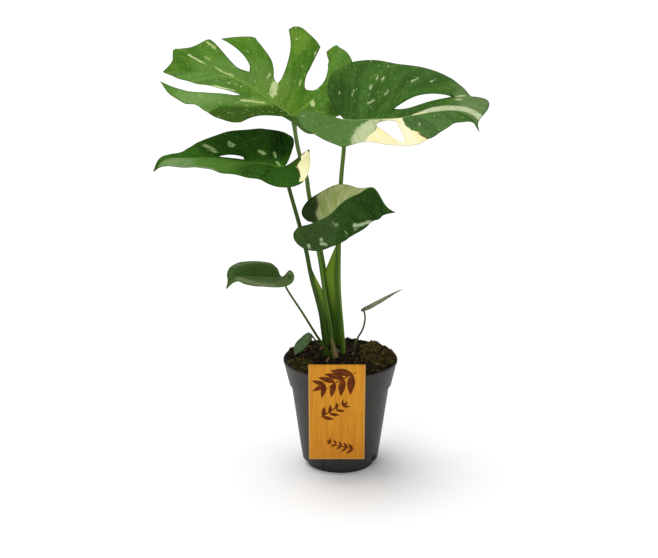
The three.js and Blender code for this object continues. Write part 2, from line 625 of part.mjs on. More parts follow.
// The card tag leans on the rim and follows the pot's taper
const tagX = -4;
const tagWidth = 57.5;
const tagHeight = 111;
const tagThickness = 0.9;
const tagTop = [-63.5, 131.5];
const tagLean = Math.atan2(13.5, 94.5);
const stakeWidth = 14;
const slotDepth = 3;

// The stake folds over the rim from the card's top edge and follows the collar's wall into the soil.
// Its slot there is open towards the wall.
function tagStake(extra = 0, outward = 0) {
  const hook = new THREE.Shape();
  hook.moveTo(-63.3, 130.4);
  hook.lineTo(-62.9, 131.6);
  hook.lineTo(-56.3, 120);
  hook.lineTo(-56 + extra, 114.5);
  hook.lineTo(-50.4 + extra, 92.5);
  hook.lineTo(-50.9, 90.9 - 2 * extra);
  hook.lineTo(-51.4 - outward, 92.5);
  hook.lineTo(-57 - outward, 114.5);
  hook.lineTo(-57.3, 119.6);
  hook.lineTo(-62.6, 129);
  const width = stakeWidth + 2 * extra;
  const geometry = new THREE.ExtrudeGeometry(hook, { depth: width, bevelEnabled: false });
  const toWorld = new THREE.Matrix4().makeBasis(new THREE.Vector3(0, 1, 0), new THREE.Vector3(0, 0, 1),
    new THREE.Vector3(1, 0, 0));
  return geometry.applyMatrix4(toWorld).translate(tagX - width / 2, 0, 0);
}

function tag() {
  const card = new THREE.BoxGeometry(tagWidth, tagThickness, tagHeight);
  card.translate(0, -tagThickness / 2, -tagHeight / 2).rotateX(tagLean);
  card.translate(tagX, tagTop[0] + tagThickness, tagTop[1]);
  return geometryOf(solidOf(card).add(solidOf(tagStake())));
}

const finishes = {
  pot: new THREE.MeshStandardMaterial({ color: 0x3c3d3d, roughness: 0.55, metalness: 0 }),
  soil: new THREE.MeshStandardMaterial({ color: 0x2e2216, roughness: 0.95, metalness: 0 }),
  crown: new THREE.MeshStandardMaterial({ color: 0x5f7a2c, roughness: 0.6, metalness: 0 }),
  dry: new THREE.MeshStandardMaterial({ color: 0xa98c5a, roughness: 0.85, metalness: 0 }),
  leaf: new THREE.MeshStandardMaterial({ color: 0x3f6f22, roughness: 0.45, metalness: 0 }),
  stalk: new THREE.MeshStandardMaterial({ color: 0x5c8a2b, roughness: 0.5, metalness: 0 }),
  tag: new THREE.MeshStandardMaterial({ color: 0xcd8c28, roughness: 0.6, metalness: 0 }),
};

const plant = new THREE.Group();

function addPiece(name, geometry, finish) {
  const mesh = new THREE.Mesh(geometry, finishes[finish]);
  mesh.name = name;
  plant.add(mesh);
}

addPiece('pot', pot(), 'pot');
addPiece('soil', soil(), 'soil');
addPiece('crown', crown(), 'crown');
addPiece('dry_sheath', drySheath(), 'dry');
addPiece('tag', tag(), 'tag');
for (const [place, leaf] of Object.entries(leaves)) {
  addPiece(`blade_${place}`, blade(leaf), 'leaf');
  const clear = solidOf(stalk(stalks[place])).subtract(solidOf(blade(leaf, gap)));
  addPiece(`stalk_${place}`, geometryOf(clear), 'stalk');
}

export default plant;
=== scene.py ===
# Young variegated monstera in its nursery pot.
# Lengths are in millimetres until a mesh is made; the frame's origin is under the middle of the pot.
import bpy
import math
import numpy as np
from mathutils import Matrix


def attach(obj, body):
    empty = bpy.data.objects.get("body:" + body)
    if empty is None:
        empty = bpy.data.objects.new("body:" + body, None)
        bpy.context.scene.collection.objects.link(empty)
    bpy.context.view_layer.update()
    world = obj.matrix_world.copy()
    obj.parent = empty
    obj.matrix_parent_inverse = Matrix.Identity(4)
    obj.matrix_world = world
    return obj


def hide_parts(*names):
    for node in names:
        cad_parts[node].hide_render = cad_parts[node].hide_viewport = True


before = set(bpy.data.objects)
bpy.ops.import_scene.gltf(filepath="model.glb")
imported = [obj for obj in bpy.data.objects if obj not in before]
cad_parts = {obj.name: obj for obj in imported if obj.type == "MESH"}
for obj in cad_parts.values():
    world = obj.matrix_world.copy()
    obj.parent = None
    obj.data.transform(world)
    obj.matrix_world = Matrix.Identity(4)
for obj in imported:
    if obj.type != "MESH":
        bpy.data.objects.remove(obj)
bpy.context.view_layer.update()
metre = 0.001
turn = 2 * math.pi
grainUnit = 0.01  # grain coordinates count in 100 mm
random = np.random.default_rng(7)


# Puts a new thing into the scene
def link(thing):
    bpy.context.scene.collection.objects.link(thing)


# Meshes: a face is four corner numbers, and a triangle repeats one of them next to itself
def addMesh(name, node, shape, finishes, flat=False):
    points, faces = shape["points"], np.asarray(shape["faces"])
    distinct = faces != np.roll(faces, -1, axis=1)
    keep = distinct.sum(axis=1) > 2
    faces, distinct = faces[keep], distinct[keep]
    corners = faces[distinct]
    starts = np.concatenate([[0], np.cumsum(distinct.sum(axis=1))[:-1]])
    mesh = bpy.data.meshes.new(name)
    mesh.vertices.add(len(points))
    mesh.vertices.foreach_set("co", (points * metre).ravel())
    mesh.loops.add(len(corners))
    mesh.loops.foreach_set("vertex_index", corners)
    mesh.polygons.add(len(faces))
    mesh.polygons.foreach_set("loop_start", starts)
    if "finish" in shape:
        mesh.polygons.foreach_set("material_index", np.asarray(shape["finish"])[keep])
    mesh.update(calc_edges=True)
    if "grain" in shape:
        layer = mesh.uv_layers.new(name="grain")
        layer.data.foreach_set("uv", shape["grain"][corners].ravel())
    for key, values in shape.get("values", {}).items():
        mesh.attributes.new(key, "FLOAT", "POINT").data.foreach_set("value", values.astype(np.float32))
    mesh.polygons.foreach_set("use_smooth", np.full(len(faces), not flat))
    mesh.validate()
    for finish in finishes:
        mesh.materials.append(finish)
    piece = bpy.data.objects.new(name, mesh)
    link(piece)
    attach(piece, "root")
    if node:
        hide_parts(node)
    return piece


# Several shapes in one: points, faces and values end to end, each face number moved on
def joined(shapes):
    starts = np.cumsum([0] + [len(shape["points"]) for shape in shapes])
    whole = {
        "points": np.concatenate([shape["points"] for shape in shapes]),
        "faces": np.concatenate([shape["faces"] + start for shape, start in zip(shapes, starts)]),
    }
    for key in ("grain", "finish"):
        if key in shapes[0]:
            whole[key] = np.concatenate([shape[key] for shape in shapes])
    if "values" in shapes[0]:
        whole["values"] = {key: np.concatenate([shape["values"][key] for shape in shapes])
                           for key in shapes[0]["values"]}
    return whole


# Quads of a grid whose columns run first; the faces point along columns x rows
def gridFaces(rows, columns, wrap=False):
    index = np.arange(rows * columns).reshape(rows, columns)
    if wrap:
        index = np.concatenate([index, index[:, :1]], axis=1)
    return np.stack([index[:-1, :-1], index[:-1, 1:], index[1:, 1:], index[1:, :-1]], -1).reshape(-1, 4)


# A sheet of n points made thick: its faces, the same faces on the back's n points turned over, and a
# wall along each edge that only one face has
def thickened(faces, n):
    edges = np.stack([faces, np.roll(faces, -1, axis=1)], -1).reshape(-1, 2)
    edges = edges[edges[:, 0] != edges[:, 1]]
    loose = ~np.isin(edges[:, 0] * n + edges[:, 1], edges[:, 1] * n + edges[:, 0])
    p, q = edges[loose].T
    return [faces, faces[:, ::-1] + n, np.stack([q, p, p + n, q + n], -1)]


# Triangles from one ring of points to a point at its middle
def fan(ring, middle):
    centre = np.full(len(ring), middle)
    return np.stack([ring, np.roll(ring, -1), centre, centre], -1)


# A tube of rings, closed by the two points that follow them, at the first ring and at the last
def tubeFaces(rows, columns):
    n, ring = rows * columns, np.arange(columns)
    return np.concatenate([gridFaces(rows, columns, wrap=True), fan(ring, n)[:, ::-1],
                           fan(ring + n - columns, n + 1)])


# A thin closed shape from the points of a sheet's front and back
def thinShape(front, back, faces):
    points = np.concatenate([front, back], axis=None).reshape(-1, 3)
    return {"points": points, "faces": np.concatenate(thickened(faces, len(points) // 2))}


# Grain coordinates of the front and back of a sheet, from its own two directions
def sheetGrain(u, v):
    grain = np.stack(np.broadcast_arrays(u, v), -1).reshape(-1, 2)
    return np.concatenate([grain, grain])


# Smooth line through points: a Catmull-Rom cubic between each pair, at whole and part steps t
def through(points, t):
    p = np.asarray(points, float)
    q = np.concatenate([[2 * p[0] - p[1]], p, [2 * p[-1] - p[-2]]])
    t = np.clip(np.asarray(t, float), 0, len(p) - 1)
    k = np.minimum(t.astype(int), len(p) - 2)
    f = (t - k).reshape(t.shape + (1,) * (p.ndim - 1))
    a, b, c, d = q[k], q[k + 1], q[k + 2], q[k + 3]
    return 0.5 * (2 * b + (c - a) * f + (2 * a - 5 * b + 4 * c - d) * f ** 2
                  + (3 * b - a - 3 * c + d) * f ** 3)


# Length run along a line of points, from 0 at the first
def runOf(points):
    return np.concatenate([[0], np.cumsum(np.linalg.norm(np.diff(points, axis=0), axis=1))])


# The same line at even steps of its own length
def evenly(points, count):
    fine = through(points, np.linspace(0, len(points) - 1, 800))
    run = runOf(fine)
    at = np.linspace(0, run[-1], count)
    return pickFrom(fine, run, at), at


# Values of a list of vectors at places x of its own running length
def pickFrom(vectors, run, x):
    return np.stack([np.interp(x, run, vectors[:, k]) for k in range(3)], -1)


# Vectors divided by their own lengths
def unit(vectors):
    return vectors / np.linalg.norm(vectors, axis=-1, keepdims=True)


# Smooth step from 0 at low to 1 at high
def ease(x, low, high):
    f = np.clip((x - low) / (high - low), 0, 1)
    return f * f * (3 - 2 * f)


# Even angles of a whole turn, in one row
def around(count):
    return np.linspace(0, turn, count, endpoint=False)[None]


# Solid turned about the z axis: the outline's radius and height at each angle. sideways moves a
# point in or out by a function of its angle, radius and height.
def turned(outline, count, sideways=None):
    r, z = np.asarray(outline, float).T[:, :, None]
    r, z, angle = np.broadcast_arrays(r, z, around(count))
    if sideways:
        r = sideways(angle, r, z)
    points = np.stack([r * np.cos(angle), r * np.sin(angle), z], -1).reshape(-1, 3)
    return {"points": points, "faces": gridFaces(len(outline), count, wrap=True)}


# Outline with extra points on each stretch, no further apart than step
def dense(outline, step):
    p = np.asarray(outline, float)
    lengths = np.linalg.norm(np.diff(p, axis=0), axis=1)
    pieces = [a + (b - a) * np.linspace(0, 1, max(2, int(length / step) + 1))[:-1, None]
              for a, b, length in zip(p[:-1], p[1:], lengths)]
    return np.concatenate(pieces + [p[-1:]])


# Finishes. A display colour becomes the surface's own colour, a little darker than it looks when lit.
def ink(r, g, b):
    linear = [((c / 255 + 0.055) / 1.055) ** 2.4 if c > 10 else c / 255 / 12.92 for c in (r, g, b)]
    return tuple(0.82 * c for c in linear) + (1,)


# A material. node adds one node and puts a value or a link on each input, called by its name or by i and
# its number; the functions after it add one kind of node each.
class Finish:
    def __init__(self, name, roughness=0.5, **fixed):
        self.material = bpy.data.materials.new(name)
        self.material.use_nodes = True
        self.tree = self.material.node_tree
        self.shader = self.tree.nodes["Principled BSDF"]
        self.shader.inputs["Roughness"].default_value = roughness
        for key, value in fixed.items():
            self.shader.inputs[key.replace("_", " ")].default_value = value

    def node(self, kind, settings=None, **inputs):
        made = self.tree.nodes.new(kind)
        for key, value in (settings or {}).items():
            setattr(made, key, value)
        for key, value in inputs.items():
            self.put(made.inputs[int(key[1:]) if key[1:].isdigit() else key.replace("_", " ")], value)
        return made

    def put(self, socket, value):
        if isinstance(value, bpy.types.NodeSocket):
            self.tree.links.new(value, socket)
        else:
            socket.default_value = value

    def math(self, operation, a, b=0.0):
        return self.node("ShaderNodeMath", {"operation": operation}, i0=a, i1=b).outputs[0]

    # 0 below low and top above high, smoothly between
    def step(self, value, low, high, top=1.0):
        return self.node("ShaderNodeMapRange", {"interpolation_type": "SMOOTHSTEP"}, Value=value,
                         From_Min=low, From_Max=high, To_Max=top).outputs["Result"]

    def mix(self, factor, a, b):
        return self.node("ShaderNodeMix", {"data_type": "RGBA"}, i0=factor, i6=a, i7=b).outputs[2]

    def axis(self, vector, number):
        return self.node("ShaderNodeSeparateXYZ", Vector=vector).outputs[number]

    def value(self, name):
        return self.node("ShaderNodeAttribute", {"attribute_name": name}).outputs["Fac"]

    def grain(self, x=1.0, y=1.0):
        uv = self.node("ShaderNodeUVMap", {"uv_map": "grain"}).outputs[0]
        return self.node("ShaderNodeMapping", Vector=uv, Scale=(x, y, 1)).outputs[0]

    def place(self, x=1.0, y=1.0, z=1.0):
        spot = self.node("ShaderNodeTexCoord").outputs["Object"]
        return self.node("ShaderNodeMapping", Vector=spot, Scale=(x, y, z)).outputs[0]

    def noise(self, vector, scale=1.0, detail=3.0, roughness=0.55, distortion=0.0):
        made = self.node("ShaderNodeTexNoise", Vector=vector, Scale=scale, Detail=detail,
                         Roughness=roughness, Distortion=distortion)
        return made.outputs["Fac"]

    # colour sets the surface's colour so far, shades goes from one colour to another where a value passes
    # from low to high, and lay covers the colour so far in the same way
    def colour(self, value):
        self.now = value
        self.put(self.shader.inputs["Base Color"], value)

    def shades(self, first, second, value, low, high, top=1.0):
        return self.mix(self.step(value, low, high, top), first, second)

    def lay(self, colour, value, low, high, top=1.0):
        self.colour(self.shades(self.now, colour, value, low, high, top))

    def rough(self, value, low, high):
        made = self.node("ShaderNodeMapRange", Value=value, To_Min=low, To_Max=high)
        self.put(self.shader.inputs["Roughness"], made.outputs["Result"])

    def bump(self, height, strength, distance):
        made = self.node("ShaderNodeBump", Height=height, Strength=strength, Distance=distance * metre)
        self.put(self.shader.inputs["Normal"], made.outputs["Normal"])


# Blades

# Of these mark kinds, light is painted light and sheen, and deep is painted shade
kinds = ("cream", "mint", "pale", "deep", "light", "dry")
blade = {"half": 0.3, "halfAtRim": 0.18, "welds": 40}  # half thickness, and weld steps in a millimetre
midrib = {"steps": 90, "sides": 20, "start": -0.6, "end": 0.985, "thinning": 0.85}


# The midrib's places and the leaf's own directions along it. x is the length from the leaf's base;
# the first rib point lies behind the base.
def ribFrame(leaf):
    span = len(leaf["rib"]) - 1
    t = np.linspace(0, span, 361)
    places = through(leaf["rib"], t)
    run = runOf(places)
    run -= np.interp(1, t, run)
    lean = leaf["lean"]
    heading = unit(pickFrom(places, run, run + lean) - pickFrom(places, run, run - lean))
    face = np.array(leaf["face"], float)
    up = unit(face - (heading @ face)[:, None] * heading)
    return {"run": run, "places": places, "heading": heading, "up": up, "side": np.cross(up, heading)}


# Half a blade bends from the midrib on a round arc: its angle is the fold plus the bend for each 100 mm
# of y. Gives the place and the normal of each flat point (x, y).
def bent(rib, half, x, y):
    run, length = rib["run"], rib["run"][-1]
    place = pickFrom(rib["places"], run, x)
    place += np.minimum(x - run[0], 0)[:, None] * rib["heading"][0]
    place += np.maximum(x - length, 0)[:, None] * rib["heading"][-1]
    up, side = pickFrom(rib["up"], run, x), pickFrom(rib["side"], run, x) * half["sign"]
    q = np.clip(x / length, 0, 1)
    fold, bend = (np.radians(a + (b - a) * q) for a, b in (half["fold"], half["bend"]))
    bend = bend / 100 + 1e-6
    angle = fold + bend * y
    out, rise = (np.sin(angle) - np.sin(fold)) / bend, (np.cos(fold) - np.cos(angle)) / bend
    normal = up * np.cos(angle)[:, None] - side * np.sin(angle)[:, None]
    return place + side * out[:, None] + up * rise[:, None], unit(normal)


# A gap between two lobes, over the share of the row from start to end: its inner end, then its
# edges on the base's and the tip's side. A hole has a closing point and goes on to the margin.
def cut(root, inner, base, tip, close=None, margin=None, start=0.25, end=1):
    return {"start": start, "end": end, "root": root, "inner": inner, "base": base, "tip": tip,
            "close": close, "margin": margin}


# One line of flat points from the midrib to the margin. A plain row is (root, margin x, margin y) with
# a slight bow, or with the points on its way round a gap. A cut runs straight to its inner end, follows
# one edge of the gap, and, where the gap is a closed hole, runs straight on to the margin.
def column(row, r, edge=None):
    if not isinstance(row, dict):
        root, x, y, *way = row
        if way:
            return through([(root, 0), *way, (x, y)], r * (len(way) + 1))
        bow = 0.18 * min(1, abs(root) / 12)
        return np.stack([root + (x - root) * r - bow * y * r * (1 - r), y * r], -1)
    root, inner = np.array([row["root"], 0.0]), np.array(row["inner"], float)
    line = [row["inner"]] + row[edge] + ([row["close"]] if row["close"] else [])
    along = (r - row["start"]) / (row["end"] - row["start"]) * (len(line) - 1)
    points = np.where((r <= row["start"])[:, None], root + (inner - root) * (r / row["start"])[:, None],
                      through(line, along))
    if row["close"]:
        close, margin = np.array(row["close"], float), np.array(row["margin"], float)
        rest = ((r - row["end"]) / (1 - row["end"]))[:, None]
        points = np.where(rest > 0, close + (margin - close) * rest, points)
    return points


# A cut ends one lobe and starts the next. Each lobe is an array of columns of flat points.
def lobesOf(half, r, perRow):
    lobes = [[]]
    for row in half["edge"]:
        if isinstance(row, dict):
            lobes[-1].append(column(row, r, "base"))
            lobes.append([column(row, r, "tip")])
        else:
            lobes[-1].append(column(row, r))
    fine = [through(lobe, np.linspace(0, len(lobe) - 1, (len(lobe) - 1) * perRow + 1)) for lobe in lobes]
    return [np.stack([lobe[..., 0], np.maximum(lobe[..., 1], 0)], -1) for lobe in fine]


# Distance from each flat point p to the nearest of the straight pieces from a to b
def toPieces(p, a, b):
    f = np.clip(((p - a) * (b - a)).sum(-1) / ((b - a) ** 2).sum(-1), 0, 1)[..., None]
    return np.linalg.norm(p - a - (b - a) * f, axis=-1).min(axis=1)


# Distance to a broken line, and whether a closed one holds the point: a line from there to the right
# then crosses it an odd number of times
def toLine(x, y, line, closed):
    p = np.stack([x, y], -1)[:, None]
    a = np.asarray(line, float)
    b = np.roll(a, -1, axis=0)
    if not closed:
        a, b = a[:-1], b[:-1]
    rise = np.where(b[:, 1] == a[:, 1], 1e-9, b[:, 1] - a[:, 1])
    left = p[..., 0] < a[:, 0] + (b[:, 0] - a[:, 0]) * (p[..., 1] - a[:, 1]) / rise
    crosses = ((a[:, 1] > p[..., 1]) != (b[:, 1] > p[..., 1])) & left
    return toPieces(p, a, b), crosses.sum(axis=1) % 2 == 1


# A colour mark on one side of the midrib: a patch is a closed outline of flat points, and a streak is a
# line of them with a width
def patch(sign, points, soft=1.6, strength=1):
    return {"sign": sign, "points": points, "width": None, "soft": soft, "strength": strength}


def streak(sign, points, width, soft=1.6, strength=1):
    return {"sign": sign, "points": points, "width": width, "soft": soft, "strength": strength}


# How far a colour mark covers each flat point: 1 well inside, 0 on its edge, -1 well outside. A weaker
# mark stays under its strength.
def marked(leaf, kind, sign, x, y):
    value = np.full(len(x), -1.0)
    for mark in leaf.get(kind, []):
        if mark["sign"] != sign:
            continue
        closed = mark["width"] is None
        distance, inside = toLine(x, y, mark["points"], closed)
        depth = np.where(inside, distance, -distance) if closed else mark["width"] / 2 - distance
        value = np.maximum(value, np.clip(depth / mark["soft"], -1, mark["strength"]))
    return value


# Half a blade as a closed thin shell. Its lift is a quilted wave between the side veins, a groove along
# each of them and a slow ripple at the margin.
def halfBlade(leaf, rib, half):
    rows, veins, sign = leaf["rows"], leaf["veins"], half["sign"]
    r = np.linspace(0, 1, rows + 1)
    flat, vein, along, faces, count, start = [], [], [], [], 0, 0.0
    for lobe in lobesOf(half, r, leaf["perRow"]):
        across = start + runOf(lobe[:, rows // 2])
        start = across[-1]
        outward = np.linalg.norm(np.diff(lobe, axis=1), axis=-1).cumsum(axis=1)
        flat.append(lobe.reshape(-1, 2))
        vein.append(np.repeat(across, rows + 1))
        along.append(np.concatenate([np.zeros((len(lobe), 1)), outward], axis=1).ravel())
        faces.append(gridFaces(len(lobe), rows + 1) + count)
        count += lobe[..., 0].size
    flat, vein, along = np.concatenate(flat), np.concatenate(vein), np.concatenate(along)
    reach = np.tile(r, count // (rows + 1))
    welded = np.round(flat * blade["welds"]).astype(int)
    first, number = np.unique(welded, axis=0, return_index=True, return_inverse=True)[1:]
    faces = number.ravel()[np.concatenate(faces)]
    (x, y), vein, along, reach = flat[first].T, vein[first], along[first], reach[first]
    x = np.where(y < 0.01, np.minimum(x, rib["run"][-1]), x)
    if sign > 0:
        faces = faces[:, ::-1]

    place, normal = bent(rib, half, x, y)
    part = np.mod(vein / veins, 1)
    groove = np.exp(-((part - 0.5) * veins) ** 2)
    fade = ease(along, 1, 8) * ease(1 - reach, 0, 0.2)
    lift = leaf["quilt"] * fade * (np.cos(turn * part) - 1.2 * groove)
    lift += leaf["ripple"] * reach ** 3 * np.sin(turn * vein / (veins * 2.3) + sign)
    thick = blade["half"] + (blade["halfAtRim"] - blade["half"]) * ease(reach, 0.9, 1)
    points = np.concatenate([place + normal * (lift + t)[:, None] for t in (thick, -thick)])

    sides = thickened(faces, len(x))
    values = {kind: marked(leaf, kind, sign, x, y) for kind in kinds}
    margin = sides[2][:, :2]
    p, q = margin[y[margin].max(axis=1) > 0.5].T
    at = np.stack([x, y], -1)
    values["rim"] = toPieces(at[:, None], at[p], at[q])
    return {
        "points": points,
        "faces": np.concatenate(sides),
        "finish": np.repeat([0, 1, 1], [len(side) for side in sides]),
        "grain": sheetGrain(vein * grainUnit + sign * 1.7 + 3, along * grainUnit),
        "values": {key: np.concatenate([value, value]) for key, value in values.items()},
    }


# The midrib: a low ridge above and a deeper one below, carried along the leaf and thinning to its tip
def midribTube(leaf, rib):
    steps, sides, length = midrib["steps"], midrib["sides"], rib["run"][-1]
    x = np.linspace(midrib["start"], length * midrib["end"], steps)
    size = leaf["ribSize"] * (1 - midrib["thinning"] * np.clip(x / length, 0, 1) ** 0.8)[:, None]
    wide, high = size * 0.8 * np.cos(around(sides)), size * np.sin(around(sides))
    high = np.where(high > 0, high * 0.35 + 0.22, high * 1.1 - 0.1)
    place, up, side = (pickFrom(rib[key], rib["run"], x)[:, None] for key in ("places", "up", "side"))
    points = (place + side * wide[..., None] + up * high[..., None]).reshape(-1, 3)
    points = np.concatenate([points, place[0] - 0.2 * up[0], place[-1]])
    along = np.concatenate([np.repeat(x, sides), [0, length]]) * grainUnit
    faces = tubeFaces(steps, sides)[:, ::-1]
    return {"points": points, "faces": faces, "finish": np.full(len(faces), 2),
            "grain": np.stack([0 * along, along], -1),
            "values": {key: np.full(len(points), -1.0) for key in kinds + ("rim",)}}


# Leaf colour: two greens by a slow noise, painted light and sheen where light marks lie, a small mottling,
# streaky pale zones, painted shade where deep marks lie, vein lines and a darker rim, then grey-green, loose
# flecks, cream and withered brown.
# A painted grey-green, cream or brown mark ends where it and a ragged noise along the veins pass its edge.
def leafFinish(name, look, under=False):
    finish = Finish(name, Specular_IOR_Level=look["shine"])
    wide = finish.noise(finish.grain(9, 2.5), 1.0, 3)
    ragged = finish.noise(finish.grain(75, 24), 1.0, 4, 0.65, 0.4)
    fine = finish.noise(finish.grain(150, 34), 1.0, 3)
    streaks = finish.noise(finish.grain(60, 5), 1.0, 3)
    fleck = finish.noise(finish.grain(52, 17), 1.0, 2, 0.5, 0.3)
    cells, mottle = finish.noise(finish.place(), 700, 2), finish.noise(finish.place(), 330, 3, 0.6)
    finish.colour(look["dark"])
    finish.lay(look["green"], wide, 0.34, 0.66)
    # painted light and sheen: lighter green where the light marks lie
    finish.lay(look["light"], finish.value("light"), -1, 1, 0.85)
    finish.lay(look["light"], mottle, 0.48, 0.72, 0.4)
    finish.lay(look["dark"], mottle, 0.5, 0.3, 0.4)
    finish.lay(look["light"], fine, 0.45, 0.75, 0.22)
    pale = finish.shades(look["pale"], look["paleDeep"], streaks, 0.35, 0.65)
    finish.lay(pale, finish.value("pale"), -1, 1)
    # painted shade: darker green where the deep marks lie, where other leaves shade this one or it folds away
    # from the light
    deep = finish.shades(look["deep"], look["dark"], mottle, 0.45, 0.75, 0.3)
    finish.lay(deep, finish.value("deep"), -1, 1, 0.95)

    veins = finish.math("MULTIPLY", finish.axis(finish.grain(), 0), 1 / (grainUnit * look["veins"]))
    aside = finish.math("ABSOLUTE", finish.math("SUBTRACT", finish.math("FRACT", veins), 0.5))
    lines = 0.4 if under else look["lines"]
    finish.lay(look["light"], aside, 0.7 / look["veins"], 0.1 / look["veins"], lines)
    finish.lay(look["deep"], finish.value("rim"), 1.4, 0.2, 0.55)

    jag = finish.math("MULTIPLY", finish.math("SUBTRACT", ragged, 0.5), 3.4)
    mint, cream, dry = (finish.math("ADD", finish.value(kind), jag) for kind in ("mint", "cream", "dry"))
    finish.lay(finish.shades(look["mint"], look["light"], streaks, 0.5, 0.7, 0.4), mint, -0.3, 0.5, 0.85)
    flecks = finish.step(fleck, look["flecks"] - 0.03, look["flecks"] + 0.05, 0.8)
    specks = finish.step(finish.noise(finish.place(), 620, 1), look["specks"], look["specks"] + 0.05, 0.5)
    finish.colour(finish.mix(finish.math("MAXIMUM", flecks, specks), finish.now, look["fleck"]))
    finish.lay(finish.shades(look["cream"], look["creamDeep"], wide, 0.35, 0.65), cream, -0.15, 0.25)
    finish.lay(finish.mix(fine, look["dry"], look["dryDeep"]), dry, -0.4, 0.4, 0.9)
    if under:
        finish.colour(finish.mix(0.42, finish.now, look["under"]))
    rough = look["rough"] + (0.2 if under else 0)
    finish.rough(cells, rough - 0.06, rough + 0.1)
    finish.bump(finish.math("ADD", cells, finish.math("MULTIPLY", fine, 0.8)), 0.2, 0.1)
    return finish.material


# Midrib colour: its own green, mottled with the light one
def ribFinish(name, look):
    finish = Finish(name, 0.45, Specular_IOR_Level=look["shine"])
    finish.colour(finish.mix(finish.noise(finish.grain(30, 20), 1.0, 2), look["rib"], look["light"]))
    return finish.material


# A leaf's piece: both halves and the midrib in one mesh, with a finish for top, under and rib
def addLeaf(name, node, leaf):
    rib, look = ribFrame(leaf), {"veins": leaf["veins"], **leaf["look"]}
    shape = joined([halfBlade(leaf, rib, half) for half in leaf["halves"]] + [midribTube(leaf, rib)])
    finishes = [leafFinish(name + "Top", look), leafFinish(name + "Under", look, True),
                ribFinish(name + "Rib", look)]
    addMesh(name, node, shape, finishes)
    print("leaf", name, len(shape["faces"]), "faces")


# Leaves. A blade's edge is given by rows from the midrib, and its colours by marks on flat points.
freshGreen = {
    "dark": ink(68, 116, 12), "green": ink(92, 142, 30), "light": ink(114, 156, 74), "deep": ink(54, 88, 6),
    "mint": ink(156, 192, 110), "pale": ink(158, 190, 66), "paleDeep": ink(130, 170, 50),
    "cream": ink(214, 230, 164), "creamDeep": ink(190, 214, 130), "fleck": ink(168, 202, 120),
    "dry": ink(122, 96, 54), "dryDeep": ink(66, 44, 24), "under": ink(120, 150, 90),
    "rib": ink(128, 168, 76), "flecks": 0.69, "specks": 0.73, "lines": 0.14, "rough": 0.5, "shine": 0.1,
}
bladeForm = {"rows": 40, "perRow": 5, "quilt": 0.1, "ripple": 0.3, "lean": 8}

